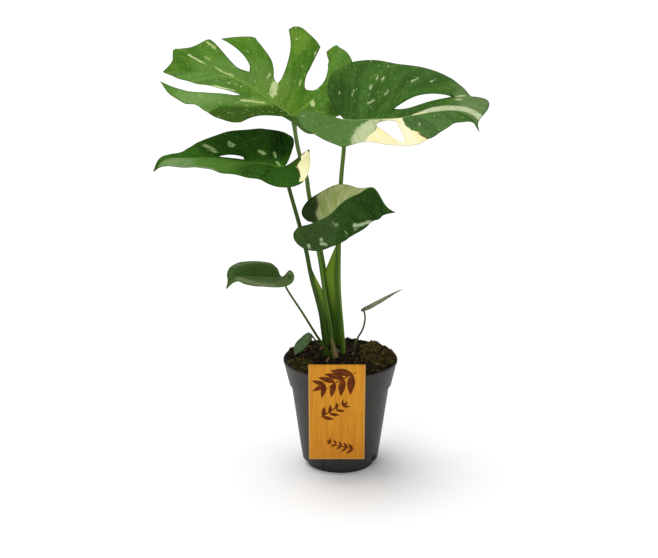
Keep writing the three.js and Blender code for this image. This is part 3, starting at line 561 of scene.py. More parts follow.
upperLeft = {
    "rib": [(-35, 4, 366), (-48, 10, 370), (-76, 18, 388), (-102, 25, 403), (-126, 30, 409), (-153, 33, 411),
            (-180, 30, 412)],
    **bladeForm, "face": (0, -0.669, 0.743), "veins": 11, "ripple": 0.4, "ribSize": 1.5,
    "halves": [
        {"sign": 1, "fold": (18, 14), "bend": (-12, -16), "edge": [
            (0, -20, 0.8), (0, -32, 5), (0, -35, 13), (0, -28, 18), (0, -17, 15),
            cut(5, (8, 9), [(3, 8.5), (-2, 8.5), (-9, 10)],
                [(16, 16.5), (23.5, 24.5), (29.5, 34), (34.5, 48)]),
            (20, 43, 55), (27, 52, 58.5), (34, 61, 60), (40, 70, 60), (44, 79, 58.5), (46, 88, 56, (55, 30)),
            (48, 101, 50, (58, 31)), (49, 121, 48, (61, 33)), (50, 138, 36, (62, 31.5)),
            cut(51, (54, 16.5), [(63, 24), (88, 30.5), (116, 31), (134, 25.5), (148, 16)],
                [(58, 17.5), (64, 19), (72, 20.5)]),
            (62, 90, 20), (82, 110, 17.5), (108, 130, 10.5), (145, 145, 0)]},
        {"sign": -1, "fold": (20, 16), "bend": (-10, -14), "edge": [
            (0, -12, 0.8), (0, -25, 4.5), (0, -37, 9), (0, -44, 14), (0, -50, 20), (0, -53, 30), (0, -51, 42),
            (0, -46, 54, (-25, 32)), (0, -40, 65, (-25, 40)), (0, -33, 76, (-13, 25), (-26, 45), (-31, 61)),
            (0, -23, 84, (-10, 26), (-23.5, 47), (-26, 67)), (0, -12, 87, (-8, 26.5), (-21.5, 46), (-20, 68)),
            (0, 0, 88, (-5.5, 27), (-19, 45), (-14, 68.5)), (1, 9, 87, (-3, 27), (-17, 44), (-8, 68.5)),
            cut(4, (5, 30.5), [(-8, 35), (-14.5, 45), (-13, 56), (-6, 65), (8, 72), (13, 76)],
                [(9, 33), (14, 42), (16, 52), (20.8, 76.6)]),
            (8, 28, 80), (11, 38, 82), (14, 47, 83), (18, 52, 80),
            cut(24, (32.5, 19), [(32.5, 27), (37, 43), (43.5, 58), (54, 74)],
                [(35, 19.5), (39, 22), (43.5, 28.4)]),
            (34, 50, 35), (40, 59, 41), (45, 67, 47), (49, 71, 50), (53, 80, 46), (56, 89, 42, (63, 22)),
            cut(58, (61.5, 13.5), [(64.5, 20), (73, 28), (84, 35.2), (94, 40)],
                [(68, 11), (75, 13.7), (84, 20.5), (100, 36)]),
            (72, 104, 38), (80, 112, 32), (88, 119, 28), (96, 127, 26), (104, 134, 24), (118, 135, 13),
            (132, 140, 5), (145, 145, 0)]},
    ],
    "cream": [
        streak(-1, [(120, 19), (111, 14), (103, 10)], 1.7), streak(-1, [(94, 8), (84, 4), (72, 2.5)], 1.5),
        streak(-1, [(105, 35), (97, 28)], 2.2), streak(-1, [(105, 18), (98, 15)], 1.2),
        patch(-1, [(28, 2), (27, 9), (31, 18), (36, 22), (38, 14), (33, 5)], soft=3, strength=0.6),
        streak(-1, [(44, 18), (44, 24)], 1.7), streak(-1, [(-14.5, 19), (-12, 21)], 4.8),
        streak(-1, [(-19, 3), (-23, 6)], 3), streak(-1, [(42, 73), (44, 69)], 1.4),
        streak(-1, [(14, 30), (15.5, 35)], 1.6), streak(-1, [(20, 65), (22, 70)], 1.4),
        streak(-1, [(-10, 35), (-11, 39)], 1.4), streak(1, [(50, 23), (40, 15), (31, 8)], 2.6),
        streak(1, [(74, 9), (66, 7), (60, 6)], 1.4), streak(1, [(89, 19.4), (75, 19), (63, 16.4)], 2.2),
    ],
    "pale": [
        patch(-1, [(36, 78), (48, 74), (46, 58), (36, 60)], soft=7, strength=-0.35),
        patch(-1, [(8, 0), (12, 14), (26, 24), (40, 16), (48, 0)], soft=7, strength=-0.4),
        patch(1, [(14, 0), (26, 9), (42, 9), (48, 0)], soft=6, strength=-0.5),
        streak(-1, [(6, 0), (40, 0), (76, 0)], 3.4, soft=1.2, strength=-0.1),
        streak(-1, [(2, 1), (-4, 10), (-12, 24)], 1.6, soft=1.2, strength=-0.2),
        streak(-1, [(2, 1), (-12, 8), (-28, 14)], 1.6, soft=1.2, strength=-0.2),
    ],
    # Painted shade: the dark band where the near half's margin rolls down, and the far half's base where the
    # upper right leaf shades it
    "deep": [
        patch(1, [(84, 70), (70, 51), (55, 38), (37, 22), (20, 1), (8, -4), (-50, -4), (-50, 40), (5, 20),
            (30, 60), (60, 80)], soft=2.5),
        patch(-1, [(-20, -4), (-20, 3), (-40, 12), (-60, 12), (-60, -4)], soft=3),
        patch(-1, [(-29, 27), (-43, 31), (-50, 18), (-34, 12)], soft=4),
    ],
    # Painted light and sheen: the bright band above the near half's rolled margin, and the grey-green sheen
    # in the middle of the far half
    "light": [
        patch(1, [(20, 3), (37, 20), (56, 36), (92, 50), (140, 50), (130, 30), (60, 30), (40, 8)],
            soft=6, strength=0.6),
        patch(-1, [(20, 0), (26, 30), (60, 24), (110, 10), (110, -2)], soft=12, strength=0.2),
    ],
    "look": {**freshGreen, "lines": 0.24, "flecks": 0.665, "specks": 0.71},
}

upperRight = {
    "rib": [(-35, -17, 384), (3, -15, 371), (33, -13, 371), (59, -11, 372), (88, -10, 377), (108, -10, 379),
            (120, -12, 377), (130, -16, 371), (136, -22, 360)],
    **bladeForm, "face": (0, -0.643, 0.766), "veins": 11, "ribSize": 1.4,
    "halves": [
        {"sign": 1, "fold": (20, 14), "bend": (-10, -20), "edge": [
            (0, -17, 13), (0, -23, 20), (0, -26, 29), (0, -26, 40), (0, -19, 51), (0, -5, 60), (4, 10, 64),
            (10, 27, 65.5), (17, 41, 65), (25, 53, 63), (31, 63, 60), (36, 74, 57), (39, 86, 52),
            (41, 97, 45, (57, 26)), (43, 105, 37, (62, 25)),
            cut(44, (50, 10.3), [(62, 16.3), (76, 20.4), (90, 20.3), (101, 17.8)],
                [(62, 9.1), (75, 10.3), (88, 12.4), (99, 13.6)],
                (107, 15.2), (112, 28), start=0.125, end=0.875),
            (60, 118, 21, (98, 10.5)), (80, 122, 21.5), (95, 126, 25), (104, 129, 24), (112, 131, 19),
            (118, 132.5, 12), (124, 134, 6), (132, 137, 2), (145, 145, 0)]},
        {"sign": -1, "fold": (18, 14), "bend": (-12, -20), "edge": [
            (0, -26, 1), (0, -40, 6), (0, -46, 15), (0, -44, 26), (0, -38, 35), (0, -28, 38), (0, -16, 42),
            (1, -7, 44), (4, 0, 45.5), (8, 6, 41), (14, 16, 37), (20, 27, 39), (27, 38, 42),
            cut(38, (44, 2.2), [(36, 2.9), (31, 7.5), (32, 13.5), (38, 21.5), (46, 33.5)],
                [(51, 3.2), (52, 13), (54, 24)], (55, 40.5), (58, 45.5), start=0.125, end=0.875),
            (50, 67, 45, (57, 18)), (56, 76, 40), (64, 84, 38), (76, 96, 30), (88, 109, 23), (100, 123, 14),
            (118, 133, 3), (130, 138, 1.2), (145, 145, 0)]},
    ],
    "cream": [
        patch(-1, [(16, 40), (21, 28), (29, 20), (33, 8), (38, 1), (57, -2), (59, 14), (64, 24), (69, 27),
            (74, 37), (77, 41), (66, 50), (40, 50), (20, 46)], soft=1.4),
        streak(1, [(69, 0.5), (82, 1)], 2.2),
    ],
    "mint": [
        patch(-1, [(6, 44), (6, 30), (11, 15), (16, 8), (24, 1), (38, 0), (34, 10), (26, 26), (20, 44)],
            soft=4.5),
        streak(1, [(10, 32), (7, 26.5)], 2), streak(1, [(30, 37), (28, 33)], 2),
        streak(1, [(36, 47.5), (35.5, 43.5)], 2), streak(1, [(43, 45.5), (40, 41)], 2),
        streak(1, [(47, 30), (42.5, 26)], 2), streak(1, [(31, 20), (25.5, 17)], 2.2),
        streak(1, [(80.5, 40), (74.5, 37.5)], 1.8), streak(1, [(94, 36), (90.5, 33)], 1.8),
        streak(1, [(114.5, 18.5), (109.5, 16)], 1.8), streak(1, [(113.5, 13.5), (110, 12.5)], 1.6),
        streak(1, [(51, 59), (49.5, 55.5)], 1.6), streak(1, [(-11.5, 26.5), (-12, 25)], 2),
        streak(-1, [(71.5, 13.5), (72.5, 18)], 2),
    ],
    "pale": [
        patch(1, [(60, -2), (68, 1), (89, 5.3), (109, 5.4), (122, 7.6), (133, 10), (136, 8), (134, 3.9),
            (122, 2.4), (109, 0), (92, -2)], soft=0.8),
        patch(1, [(130, -10), (130, 60), (190, 60), (190, -10)], soft=30, strength=-0.5),
    ],
    # Painted shade on the base lobe of one half, and painted light and sheen on the base lobe of the other
    "deep": [patch(1, [(-30, -4), (-30, 40), (2, 34), (6, 16), (0, -4)], soft=10, strength=0)],
    "light": [patch(-1, [(-50, -4), (-50, 50), (4, 46), (10, 14), (20, -4)], soft=6, strength=0.5)],
    "dry": [streak(-1, [(69, 30), (73, 35), (78, 39)], 1.8)],
    "look": {**freshGreen, "dark": ink(50, 92, 20), "green": ink(72, 118, 36), "light": ink(98, 138, 66),
             "deep": ink(44, 78, 26), "mint": ink(212, 224, 172), "pale": ink(222, 230, 188),
             "paleDeep": ink(196, 210, 158), "fleck": ink(164, 196, 130), "cream": ink(260, 254, 214),
             "creamDeep": ink(258, 248, 176), "rib": ink(150, 180, 96), "flecks": 0.69, "specks": 0.715},
}

middleLeaf = {
    "rib": [(-33, -27, 343), (-56, -25, 326), (-75, -22, 328), (-93, -20, 329), (-123, -18, 333),
            (-150, -18, 333), (-173, -20, 332), (-186, -26, 321)],
    **bladeForm, "face": (0, -0.407, 0.914), "veins": 10, "ribSize": 1.4,
    "halves": [
        {"sign": 1, "fold": (10, 8), "bend": (-12, -20), "edge": [
            (0, -27, 0.5), (0, -31, 3), (0, -29, 14), (0, -27, 25), (0, -23, 35), (0, -19, 41),
            (0, -13, 45.5), (1, -6, 45), (3, 0, 41.5), (8, 10, 35), (16, 21, 32), (24, 33, 30),
            (36, 47, 27.5), (46, 62, 28), (60, 75, 22.5), (74, 87, 20), (88, 99, 19), (102, 112, 18),
            (112, 121, 12), (122, 129, 4), (137, 137, 0)]},
        {"sign": -1, "fold": (12, 8), "bend": (-12, -20), "edge": [
            (0, -1, 5), (0, -5, 9), (0, -11, 11.5), (0, -16, 13.8), (0, -20, 19), (0, -21.2, 26),
            (0, -18.6, 34), (0, -14.4, 42), (0, -8, 48), (1, 0, 50), (3, 9, 48.4), (6, 17, 49.8),
            (10, 26, 50.8), (15, 35, 51), (22, 50, 46.8), (29, 62, 41.3), (34, 73, 33.5),
            (37, 84, 26, (50, 13)),
            cut(38, (41.5, 3.5), [(45, 8), (54, 7.6), (62, 5.2)], [(48, 1), (58, 0.9)],
                (68, 2.2), (95, 17), start=0.125, end=0.5),
            (70, 101, 11), (84, 108, 7), (98, 115, 6), (110, 121, 6.5), (120, 128, 4), (137, 137, 0)]},
    ],
    "cream": [
        patch(1, [(-21, -2), (-19, 9), (-12, 13), (-14, 24), (-13, 37), (-11, 42), (-22, 50), (-40, 30),
            (-40, 0)], soft=1.4),
    ],
    "mint": [
        streak(-1, [(81.5, 18), (76, 13), (70.5, 9)], 4.6),
        patch(-1, [(62, 25), (60, 27), (54, 22), (55, 17), (60, 18)], soft=1.6, strength=0.5),
        streak(-1, [(28, 17), (23.5, 13.5)], 4), streak(-1, [(15, 17), (12, 11)], 2.4, strength=0.3),
        streak(-1, [(9, 6), (5, 2)], 2.8), streak(-1, [(44, 25), (43, 23)], 2, strength=-0.2),
        streak(-1, [(26, 28), (25, 26)], 2, strength=-0.2),
    ],
    "pale": [
        patch(1, [(96, 6), (100, 30), (160, 30), (160, -4), (112, -4)], soft=14, strength=-0.1),
        streak(1, [(66, 26), (75, 22.4), (87, 20), (99, 19), (112, 18), (121, 12)],
            4, soft=1.5, strength=0.3),
    ],
    # Painted shade: most of the far half, which lies in the upper left leaf's shadow, the tip on both sides
    # and the base by the midrib
    "deep": [
        patch(-1, [(-40, 9), (4, 8), (24, 7), (28, 60), (-40, 60)], soft=10),
        patch(-1, [(10, 6), (60, 3), (84, 6), (80, 60), (10, 60)], soft=8, strength=0.15),
        patch(1, [(130, -6), (130, 8), (146, 8), (146, -6)], soft=3, strength=0.2),
        patch(-1, [(130, -6), (130, 8), (146, 8), (146, -6)], soft=3, strength=0.2),
        patch(1, [(-24, -10), (-24, 50), (22, 34), (40, 14), (20, -10)], soft=14, strength=-0.1),
        streak(1, [(0, 2), (-14, 1.6), (-26, 2.4)], 4.4, strength=0.6),
    ],
    # Painted light: the near half brighter towards its tip
    "light": [patch(1, [(30, 0), (56, 26), (90, 24), (140, 10), (140, -4), (60, -4)], soft=14, strength=0.7)],
    "dry": [
        streak(1, [(-10, 1), (-17, 0.8), (-26, 1.2)], 2), streak(1, [(-28, 0), (-31, 5)], 2.6),
        streak(1, [(-15, 6), (-13, 14), (-13.5, 30)], 1.2),
    ],
    "look": {**freshGreen, "dark": ink(44, 90, 12), "green": ink(58, 108, 22), "light": ink(96, 142, 54),
             "deep": ink(10, 44, 0), "mint": ink(168, 194, 122), "pale": ink(164, 178, 136),
             "paleDeep": ink(124, 152, 104), "fleck": ink(124, 158, 88), "cream": ink(262, 258, 206),
             "creamDeep": ink(254, 248, 180), "rib": ink(64, 106, 26), "flecks": 0.71, "specks": 0.74,
             "lines": 0.06, "shine": 0.03, "rough": 0.6},
}

centreLeaf = {
    "rib": [(-44, -33, 267), (-27, -30, 270), (-12, -30, 277), (3, -28, 291), (17, -26, 298), (32, -26, 304),
            (45, -32, 287), (54, -38, 282)],
    **bladeForm, "face": (0, -0.588, 0.809), "lean": 60, "rows": 36, "veins": 9, "quilt": 0.08,
    "ripple": 0.12, "ribSize": 1.3,
    "halves": [
        {"sign": 1, "fold": (42, -80), "bend": (-20, -20), "edge": [
            (0, -5, 3), (0, -7, 7), (0, -7, 12), (0, -4, 17), (1, 1, 21), (4, 7, 24), (9, 14, 26),
            (15, 22, 27), (22, 30, 27), (29, 38, 24.5), (36, 46, 20), (44, 54, 13), (56, 64, 6), (70, 78, 5),
            (84, 92, 3), (104, 104, 0)]},
        {"sign": -1, "fold": (-20, -25), "bend": (-15, -25), "edge": [
            (0, -14, 0.8), (0, -19, 2), (0, -24, 5), (0, -26, 11), (0, -25, 17), (0, -22, 23), (0, -17, 28),
            (0, -10, 30), (1, -2, 30), (4, 7, 29.5), (9, 19, 31), (15, 30, 35), (22, 42, 37.5), (31, 53, 37),
            (41, 63, 35.5), (52, 72, 31), (64, 81, 22), (76, 89, 12), (88, 96, 5), (104, 104, 0)]},
    ],
    "mint": [
        streak(-1, [(45, 28.5), (50, 30.5)], 3.6), streak(-1, [(52, 31), (58, 32), (66, 35)], 3.4),
        streak(-1, [(45, 33), (48, 33.5)], 1.6), streak(-1, [(17, 8.5), (22.5, 14.5)], 2.2, strength=0),
        streak(-1, [(-0.5, 18.5), (-1.5, 20)], 2.6), streak(-1, [(-3, 23.5), (0.5, 26)], 3.4),
        streak(-1, [(-15.5, 22.5), (-16, 25)], 3), streak(-1, [(31, 27), (33, 31)], 1.6),
    ],
    "pale": [
        patch(1, [(5, 0), (6, 8), (12, 15), (13, 24), (17, 34), (60, 34), (80, 0)], soft=0.9, strength=0.1),
        patch(1, [(0, -50), (4, 90), (120, 90), (120, -50)], soft=52),
    ],
    # Painted sheen on the near half's base, and painted shade at the base of the steeply folded half
    "light": [patch(-1, [(-40, -10), (-40, 40), (-4, 34), (24, 12), (8, -10)], soft=12, strength=0)],
    "deep": [
        patch(1, [(-40, -10), (5, -10), (5, 0), (6, 8), (12, 15), (13, 24), (17, 34), (17, 50), (-40, 50)],
            soft=2),
    ],
    # This leaf's greens are partly painted shade, for its near half faces down and away from the light; its
    # light green is that half's painted sheen
    "look": {**freshGreen, "dark": ink(34, 66, 16), "green": ink(50, 86, 26), "light": ink(82, 108, 60),
             "deep": ink(26, 48, 16), "mint": ink(196, 214, 172), "pale": ink(212, 218, 160),
             "paleDeep": ink(168, 184, 96), "fleck": ink(128, 152, 104), "rib": ink(62, 100, 40),
             "flecks": 0.7, "specks": 0.72, "shine": 0.04, "rough": 0.58},
}

lowLeft = {
    "rib": [(-51, -18, 221), (-60, -18, 210), (-79, -16, 209), (-103, -16, 210), (-110, -18, 208),
            (-117, -22, 198)],
    **bladeForm, "face": (0, -0.375, 0.927), "rows": 30, "perRow": 6, "veins": 6, "quilt": 0.06,
    "ripple": 0.1, "ribSize": 0.9,
    "halves": [
        {"sign": 1, "fold": (10, 8), "bend": (-15, -20), "edge": [
            (0, -7, 0.5), (0, -10.6, 1.6), (0, -12.3, 5), (0, -12.4, 9.5), (0, -11.5, 14), (0, -9, 18.6),
            (0, -5.5, 20.6), (1, -1, 20), (3, 6, 18.8), (7, 15, 18.5), (14, 25, 18), (24, 35, 16),
            (36, 46, 10.8), (48, 55, 4), (64, 64, 0)]},
        {"sign": -1, "fold": (12, 8), "bend": (-15, -20), "edge": [
            (0, 2.3, 6.2), (1, 4, 11.7), (3, 8.9, 16.2), (6, 15, 20.6), (11, 28, 22.3), (18, 40, 21),
            (26, 46, 17), (34, 50, 12.5), (42, 53, 8), (50, 56, 3.5), (64, 64, 0)]},
    ],
    # Painted shade, mostly in the middle of one half
    "deep": [
        patch(-1, [(0, -4), (4, 9), (12, 18), (28, 18), (42, 12), (52, -4)], soft=5),
        streak(1, [(-8, 8), (-7, 13)], 3, soft=2),
    ],
    # Painted sheen toward the margin of this half
    "light": [patch(1, [(-24, 0), (10, 8), (40, 6), (64, 0), (60, 30), (-24, 30)], soft=5)],
    "pale": [
        streak(1, [(8, 16), (20, 15.5), (34, 10), (46, 4)], 3, soft=3, strength=0),
        streak(1, [(-9.5, 5), (-9, 8)], 1.4, soft=1.4),
        streak(-1, [(8, 15), (16, 19.6), (28, 21), (38, 19.4), (46, 15)], 2.6, soft=1.6, strength=-0.35),
    ],
    "look": {**freshGreen, "dark": ink(60, 88, 36), "green": ink(74, 100, 46), "light": ink(98, 118, 66),
             "deep": ink(48, 78, 12), "mint": ink(140, 160, 122), "pale": ink(160, 172, 130),
             "paleDeep": ink(136, 150, 104), "rib": ink(76, 104, 44), "flecks": 0.9, "specks": 0.9,
             "lines": 0.06, "shine": 0.06},
}

shootLeaf = {
    "rib": [(18, 15, 162), (24, 15, 166), (36, 14, 173), (52, 12, 182), (66, 10, 189)],
    **bladeForm, "face": (-0.43, 0.2, 0.88), "rows": 24, "perRow": 8, "veins": 5, "ripple": 0.1,
    "ribSize": 0.7,
    "halves": [{"sign": sign, "fold": fold, "bend": bend, "edge": [
        (0, -3, 3), (0, -2, 8), (2, 4, 12), (6, 12, 13.5), (13, 21, 12), (22, 31, 8.5), (32, 39, 4),
        (46, 46, 0)]}
        for sign, fold, bend in ((1, (-4, -4), (-10, -10)), (-1, (-12, -12), (-20, -20)))],
    # Painted shade at the base of both halves
    "deep": [patch(sign, [(-6, -4), (-6, 16), (6, 16), (6, -4)], soft=8) for sign in (1, -1)],
    "look": {**freshGreen, "dark": ink(96, 108, 76), "green": ink(124, 134, 102), "light": ink(156, 164, 136),
             "deep": ink(66, 78, 44), "mint": ink(150, 170, 130), "rib": ink(126, 140, 100), "flecks": 0.9,
             "specks": 0.9},
}

soilSideLeaf = {
    "rib": [(-29, -8, 148), (-32, -10, 146), (-37, -12, 141), (-43, -13, 133), (-48, -14, 124)],
    **bladeForm, "face": (-0.5, -0.7, 0.5), "rows": 24, "perRow": 8, "veins": 4, "quilt": 0.12, "ripple": 0.1,
    "ribSize": 0.6,
    "halves": [
        {"sign": 1, "fold": (12, 8), "bend": (-30, -20), "edge": [
            (0, -1, 3), (0, 2, 7), (3, 8, 8.5), (8, 16, 7.5), (16, 23, 4), (28, 28, 0)]},
        {"sign": -1, "fold": (12, 8), "bend": (-30, -20), "edge": [
            (0, -1, 2), (0, 3, 3.5), (3, 9, 4.5), (8, 16, 5.5), (15, 22, 4.5), (28, 28, 0)]},
    ],
    "look": {**freshGreen, "dark": ink(62, 86, 48), "green": ink(80, 104, 62), "light": ink(106, 128, 84),
             "deep": ink(44, 66, 34), "mint": ink(140, 166, 126), "rib": ink(96, 120, 74), "flecks": 0.9,
             "specks": 0.9, "lines": 0.3},
}

addLeaf("bladeUpperLeft", "blade_upper_left", upperLeft)
addLeaf("bladeUpperRight", "blade_upper_right", upperRight)
addLeaf("bladeMiddle", "blade_middle", middleLeaf)
addLeaf("bladeCentre", "blade_centre", centreLeaf)
addLeaf("bladeLowLeft", "blade_low_left", lowLeft)
addLeaf("bladeShoot", "blade_shoot", shootLeaf)
addLeaf("bladeSoilSide", "blade_soil_side", soilSideLeaf)


# Stalks

crown = {"x": -6, "y": 2, "radius": 6, "ring": 9.2, "low": 72, "dome": 119, "high": 125.6,
         "steps": 70, "sides": 40}
stalkForm = {"steps": 110, "sides": 28, "heights": (98, 110, 122), "swelling": 0.22, "ribbing": 0.035}


# A stalk stands upright in the soil, at an angle on a ring round the crown
def footOf(angle):
    a = math.radians(angle)
    x, y = crown["x"] + crown["ring"] * math.cos(a), crown["y"] + crown["ring"] * math.sin(a)
    return [(x, y, z) for z in stalkForm["heights"]]


# Rings carried along a route. The radius shrinks evenly from foot to top and swells a little under the
# blade; the wing, a sheath's free edge, stands out to one side over part of the height.
def stalkShape(plan):
    steps, sides = stalkForm["steps"], stalkForm["sides"]
    middle, run = evenly(plan["route"], steps)
    heading = unit(np.gradient(middle, run, axis=0))
    wing = plan.get("wing", {"toward": (1, 0, 0), "widths": [(0, 0)]})
    reach = np.array(wing["toward"], float)
    out = unit(reach - (heading @ reach)[:, None] * heading)
    across = np.cross(heading, out)
    t = run / run[-1]
    radius = plan["foot"] + (plan["top"] - plan["foot"]) * t
    radius = radius * (1 + stalkForm["swelling"] * ease(t, 0.93, 0.985) * (1 - ease(t, 0.985, 1.0)))
    width = np.interp(middle[:, 2], *np.array(wing["widths"], float).T)
    angle = around(sides)[0]
    ribs = radius[:, None] * (1 + stalkForm["ribbing"] * np.cos(7 * angle))
    edge = np.maximum(np.cos(angle), 0) ** 10
    thin = 0.5 * np.exp(-(np.abs(np.sin(angle)) / 0.5) ** 2) * (np.cos(angle) > 0)
    spread = ribs * np.cos(angle) + width[:, None] * edge
    sideways = ribs * np.sin(angle) * (1 - thin * np.clip(width / 3, 0, 1)[:, None])
    points = middle[:, None] + out[:, None] * spread[..., None] + across[:, None] * sideways[..., None]
    points = np.concatenate([points.reshape(-1, 3), middle[:1] - heading[:1] * 0.3,
                             middle[-1:] + heading[-1:] * 0.4])
    grain = np.stack([np.tile(angle / turn, steps), np.repeat(run, sides) * grainUnit], -1)
    grain = np.concatenate([grain, [[0, 0], [0, run[-1] * grainUnit]]])
    web = np.concatenate([(np.clip(width / 4, 0, 1)[:, None] * edge).ravel(), [0, 0]])
    return {"points": points, "faces": tubeFaces(steps, sides), "grain": grain,
            "values": {"web": web, "height": points[:, 2]}}


# Stalk colour: long streaks between a dark and a bright green, paler near the soil and under the blade,
# bright on the upper part of the wing, with a few brown spots. Lower down the wing keeps the stalk's darker
# greens as painted shade where the stalks crowd together.
def stalkFinish(name, look):
    finish = Finish(name, Specular_IOR_Level=0.12)
    fine = finish.noise(finish.grain(30, 1.5), 1.0, 3)
    height = finish.value("height")
    finish.colour(look["dark"])
    finish.lay(look["green"], finish.noise(finish.grain(look["count"], 0.5), 1.0, 2, 0.5), 0.4, 0.6)
    finish.lay(look["light"], fine, 0.52, 0.7, 0.5)
    finish.lay(look["foot"], height, 150, 112, 0.35)
    finish.lay(look["high"], height, 210, 340, 0.7)
    # the wing turns bright only above about 150 to 200 mm; below that the stalk greens stand as painted shade
    # among the crowded stalks
    bright = finish.math("MULTIPLY", finish.step(finish.value("web"), 0.02, 0.5, 0.85),
                         finish.step(height, 150, 200))
    finish.colour(finish.mix(bright, finish.now, look["wing"]))
    finish.lay(look["spot"], finish.noise(finish.place(1, 1, 0.35), 210, 3), 0.68, 0.76, 0.5)
    finish.rough(fine, 0.34, 0.5)
    finish.bump(fine, 0.2, 0.15)
    return finish.material


stalkLook = {"dark": ink(44, 80, 10), "green": ink(84, 122, 30), "light": ink(140, 168, 80),
             "wing": ink(122, 156, 34), "foot": ink(96, 124, 36), "high": ink(96, 122, 42),
             "spot": ink(110, 92, 44), "count": 4}
stalks = {
    "UpperLeft": {"node": "stalk_upper_left", "foot": 2.9, "top": 2, "route": footOf(100) + [
        (-10, 11, 160), (-14, 11, 187), (-21, 11, 231), (-32, 11, 286), (-35, 11, 307), (-42, 11, 331),
        (-45, 11, 346), (-48, 10, 369)], "look": {**stalkLook, "high": ink(122, 150, 80)}},
    "UpperRight": {"node": "stalk_upper_right", "foot": 2.9, "top": 2, "route": footOf(345) + [
        (1, 0, 150), (-2, -1, 191), (-2, -1, 240), (0, -1, 303), (3, -6, 342), (3, -15, 370)],
        "look": {**stalkLook, "dark": ink(52, 88, 12), "green": ink(98, 134, 36), "light": ink(150, 178, 96)},
        "wing": {"toward": (-1, 0, 0),
                 "widths": [(129, 0), (135, 6), (160, 7), (190, 8.5), (206, 10.8), (213, 10.6), (240, 0)]}},
    "Middle": {"node": "stalk_middle", "foot": 2.6, "top": 1.9, "route": footOf(190) + [
        (-18, -1, 146), (-21, -4, 169), (-30, -9, 207), (-35, -12, 235), (-42, -16, 265), (-52, -21, 304),
        (-56, -25, 325)],
        "wing": {"toward": (1, -0.3, 0), "widths": [(128, 0), (134, 4.5), (166, 5.5), (192, 6), (216, 0)]},
        "look": {**stalkLook, "dark": ink(36, 60, 12), "green": ink(58, 88, 22), "light": ink(104, 130, 60),
                 "high": ink(68, 90, 30)}},
    "Centre": {"node": "stalk_centre", "foot": 2.4, "top": 1.7, "look": stalkLook, "route": footOf(262) + [
        (-11, -9, 155), (-16, -14, 189), (-21, -19, 226), (-25, -24, 251), (-27, -30, 269)]},
    "LowLeft": {"node": "stalk_low_left", "foot": 1.5, "top": 1, "route": footOf(225) + [
        (-26, -7, 145), (-39, -12, 169), (-54, -17, 195), (-60, -18, 209)],
        "look": {**stalkLook, "dark": ink(44, 68, 16), "green": ink(74, 100, 34)}},
    "Shoot": {"node": "stalk_shoot", "foot": 1.2, "top": 0.9, "route": [
        (15, 15, 98), (15, 15, 122), (19, 15, 134), (22, 15, 139), (25, 15, 147), (26, 15, 157),
        (24, 15, 165.5)],
        "look": {**stalkLook, "dark": ink(70, 86, 44), "green": ink(100, 118, 70),
                 "light": ink(140, 154, 110)}},
    "SoilSide": {"node": "stalk_soil_side", "foot": 1.1, "top": 0.8, "route": footOf(145)[::2] + [
        (-24, 3, 131), (-28, -5, 140), (-31.5, -9.6, 146)],
        "look": {**stalkLook, "dark": ink(70, 92, 44), "green": ink(96, 124, 66)}},
}

for name, plan in stalks.items():
    finish = stalkFinish("stalk" + name, plan["look"])
    addMesh("stalk" + name, plan["node"], stalkShape(plan), [finish])
print("stalks done")


# Crown: a short stem with rings where old leaves stood
def crownShape():
    low, domed, high = crown["low"], crown["dome"], crown["high"]
    z = np.linspace(low, high, crown["steps"])
    dome = np.sqrt(np.clip(1 - ((z - domed) / (high - domed + 0.1)) ** 2, 0, 1))
    r = crown["radius"] * np.where(z > domed, dome, ease(z, low - 4, low + 8))
    r = r * (1 - 0.05 * np.abs(np.sin(z * 0.9)))
    points = turned(np.stack([r, z], -1), crown["sides"])["points"]
    points = np.concatenate([points, [[0, 0, low], [0, 0, high]]]) + [crown["x"], crown["y"], 0]
    return {"points": points, "faces": tubeFaces(crown["steps"], crown["sides"])}


# Crown colour: green, with brown patches in level bands
def crownFinish():
    finish = Finish("crown", 0.6)
    patches = finish.noise(finish.place(1, 1, 3), 160, 4)
    finish.colour(ink(74, 84, 34))
    finish.lay(ink(96, 74, 42), patches, 0.4, 0.65)
    finish.bump(patches, 0.4, 0.4)
    return finish.material


addMesh("crown", "crown", crownShape(), [crownFinish()])


# Dry sheath: a leaning strip bent round the stalks. Its height at each angle ends in a torn edge, and it
# crumples by a sum of sines.
sheath = {"across": 60, "upward": 50, "foot": 104, "height": 38, "angle": 290, "spread": 22, "lean": 0.8,
          "radius": 12.9, "flare": 0.05, "half": 0.2}


def sheathShape():
    u = np.linspace(-1, 1, sheath["across"])[None]
    v = np.linspace(0, 1, sheath["upward"])[:, None]
    top = sheath["height"] * (1 - np.abs(u + 0.1) ** 1.8 * 0.75)
    height = v * (top + 1.5 * np.sin(23 * u) + 1.1 * np.sin(41 * u + 1))
    angle = np.radians(sheath["angle"] + sheath["spread"] * u * (1 - 0.45 * v) - sheath["lean"] * height)
    r = sheath["radius"] + 0.25 * np.sin(9 * u + 4 * v) + 0.2 * np.sin(17 * u - 9 * v)
    r = r + sheath["flare"] * height
    front, back = (np.stack([crown["x"] + (r + t) * np.cos(angle), crown["y"] + (r + t) * np.sin(angle),
                             sheath["foot"] + height], -1) for t in (sheath["half"], -sheath["half"]))
    shape = thinShape(front, back, gridFaces(sheath["upward"], sheath["across"]))
    return {**shape, "grain": sheetGrain(u, v)}


# Sheath colour: brown and pale fibres up the strip
def sheathFinish():
    finish = Finish("drySheath", 0.85)
    fibre = finish.noise(finish.grain(14, 1.5), 1.0, 4)
    finish.colour(ink(112, 86, 44))
    finish.lay(ink(182, 158, 106), fibre, 0.35, 0.65)
    finish.bump(fibre, 0.5, 0.3)
    return finish.material


addMesh("drySheath", "dry_sheath", sheathShape(), [sheathFinish()])
print("crown and sheath done")


# Pot

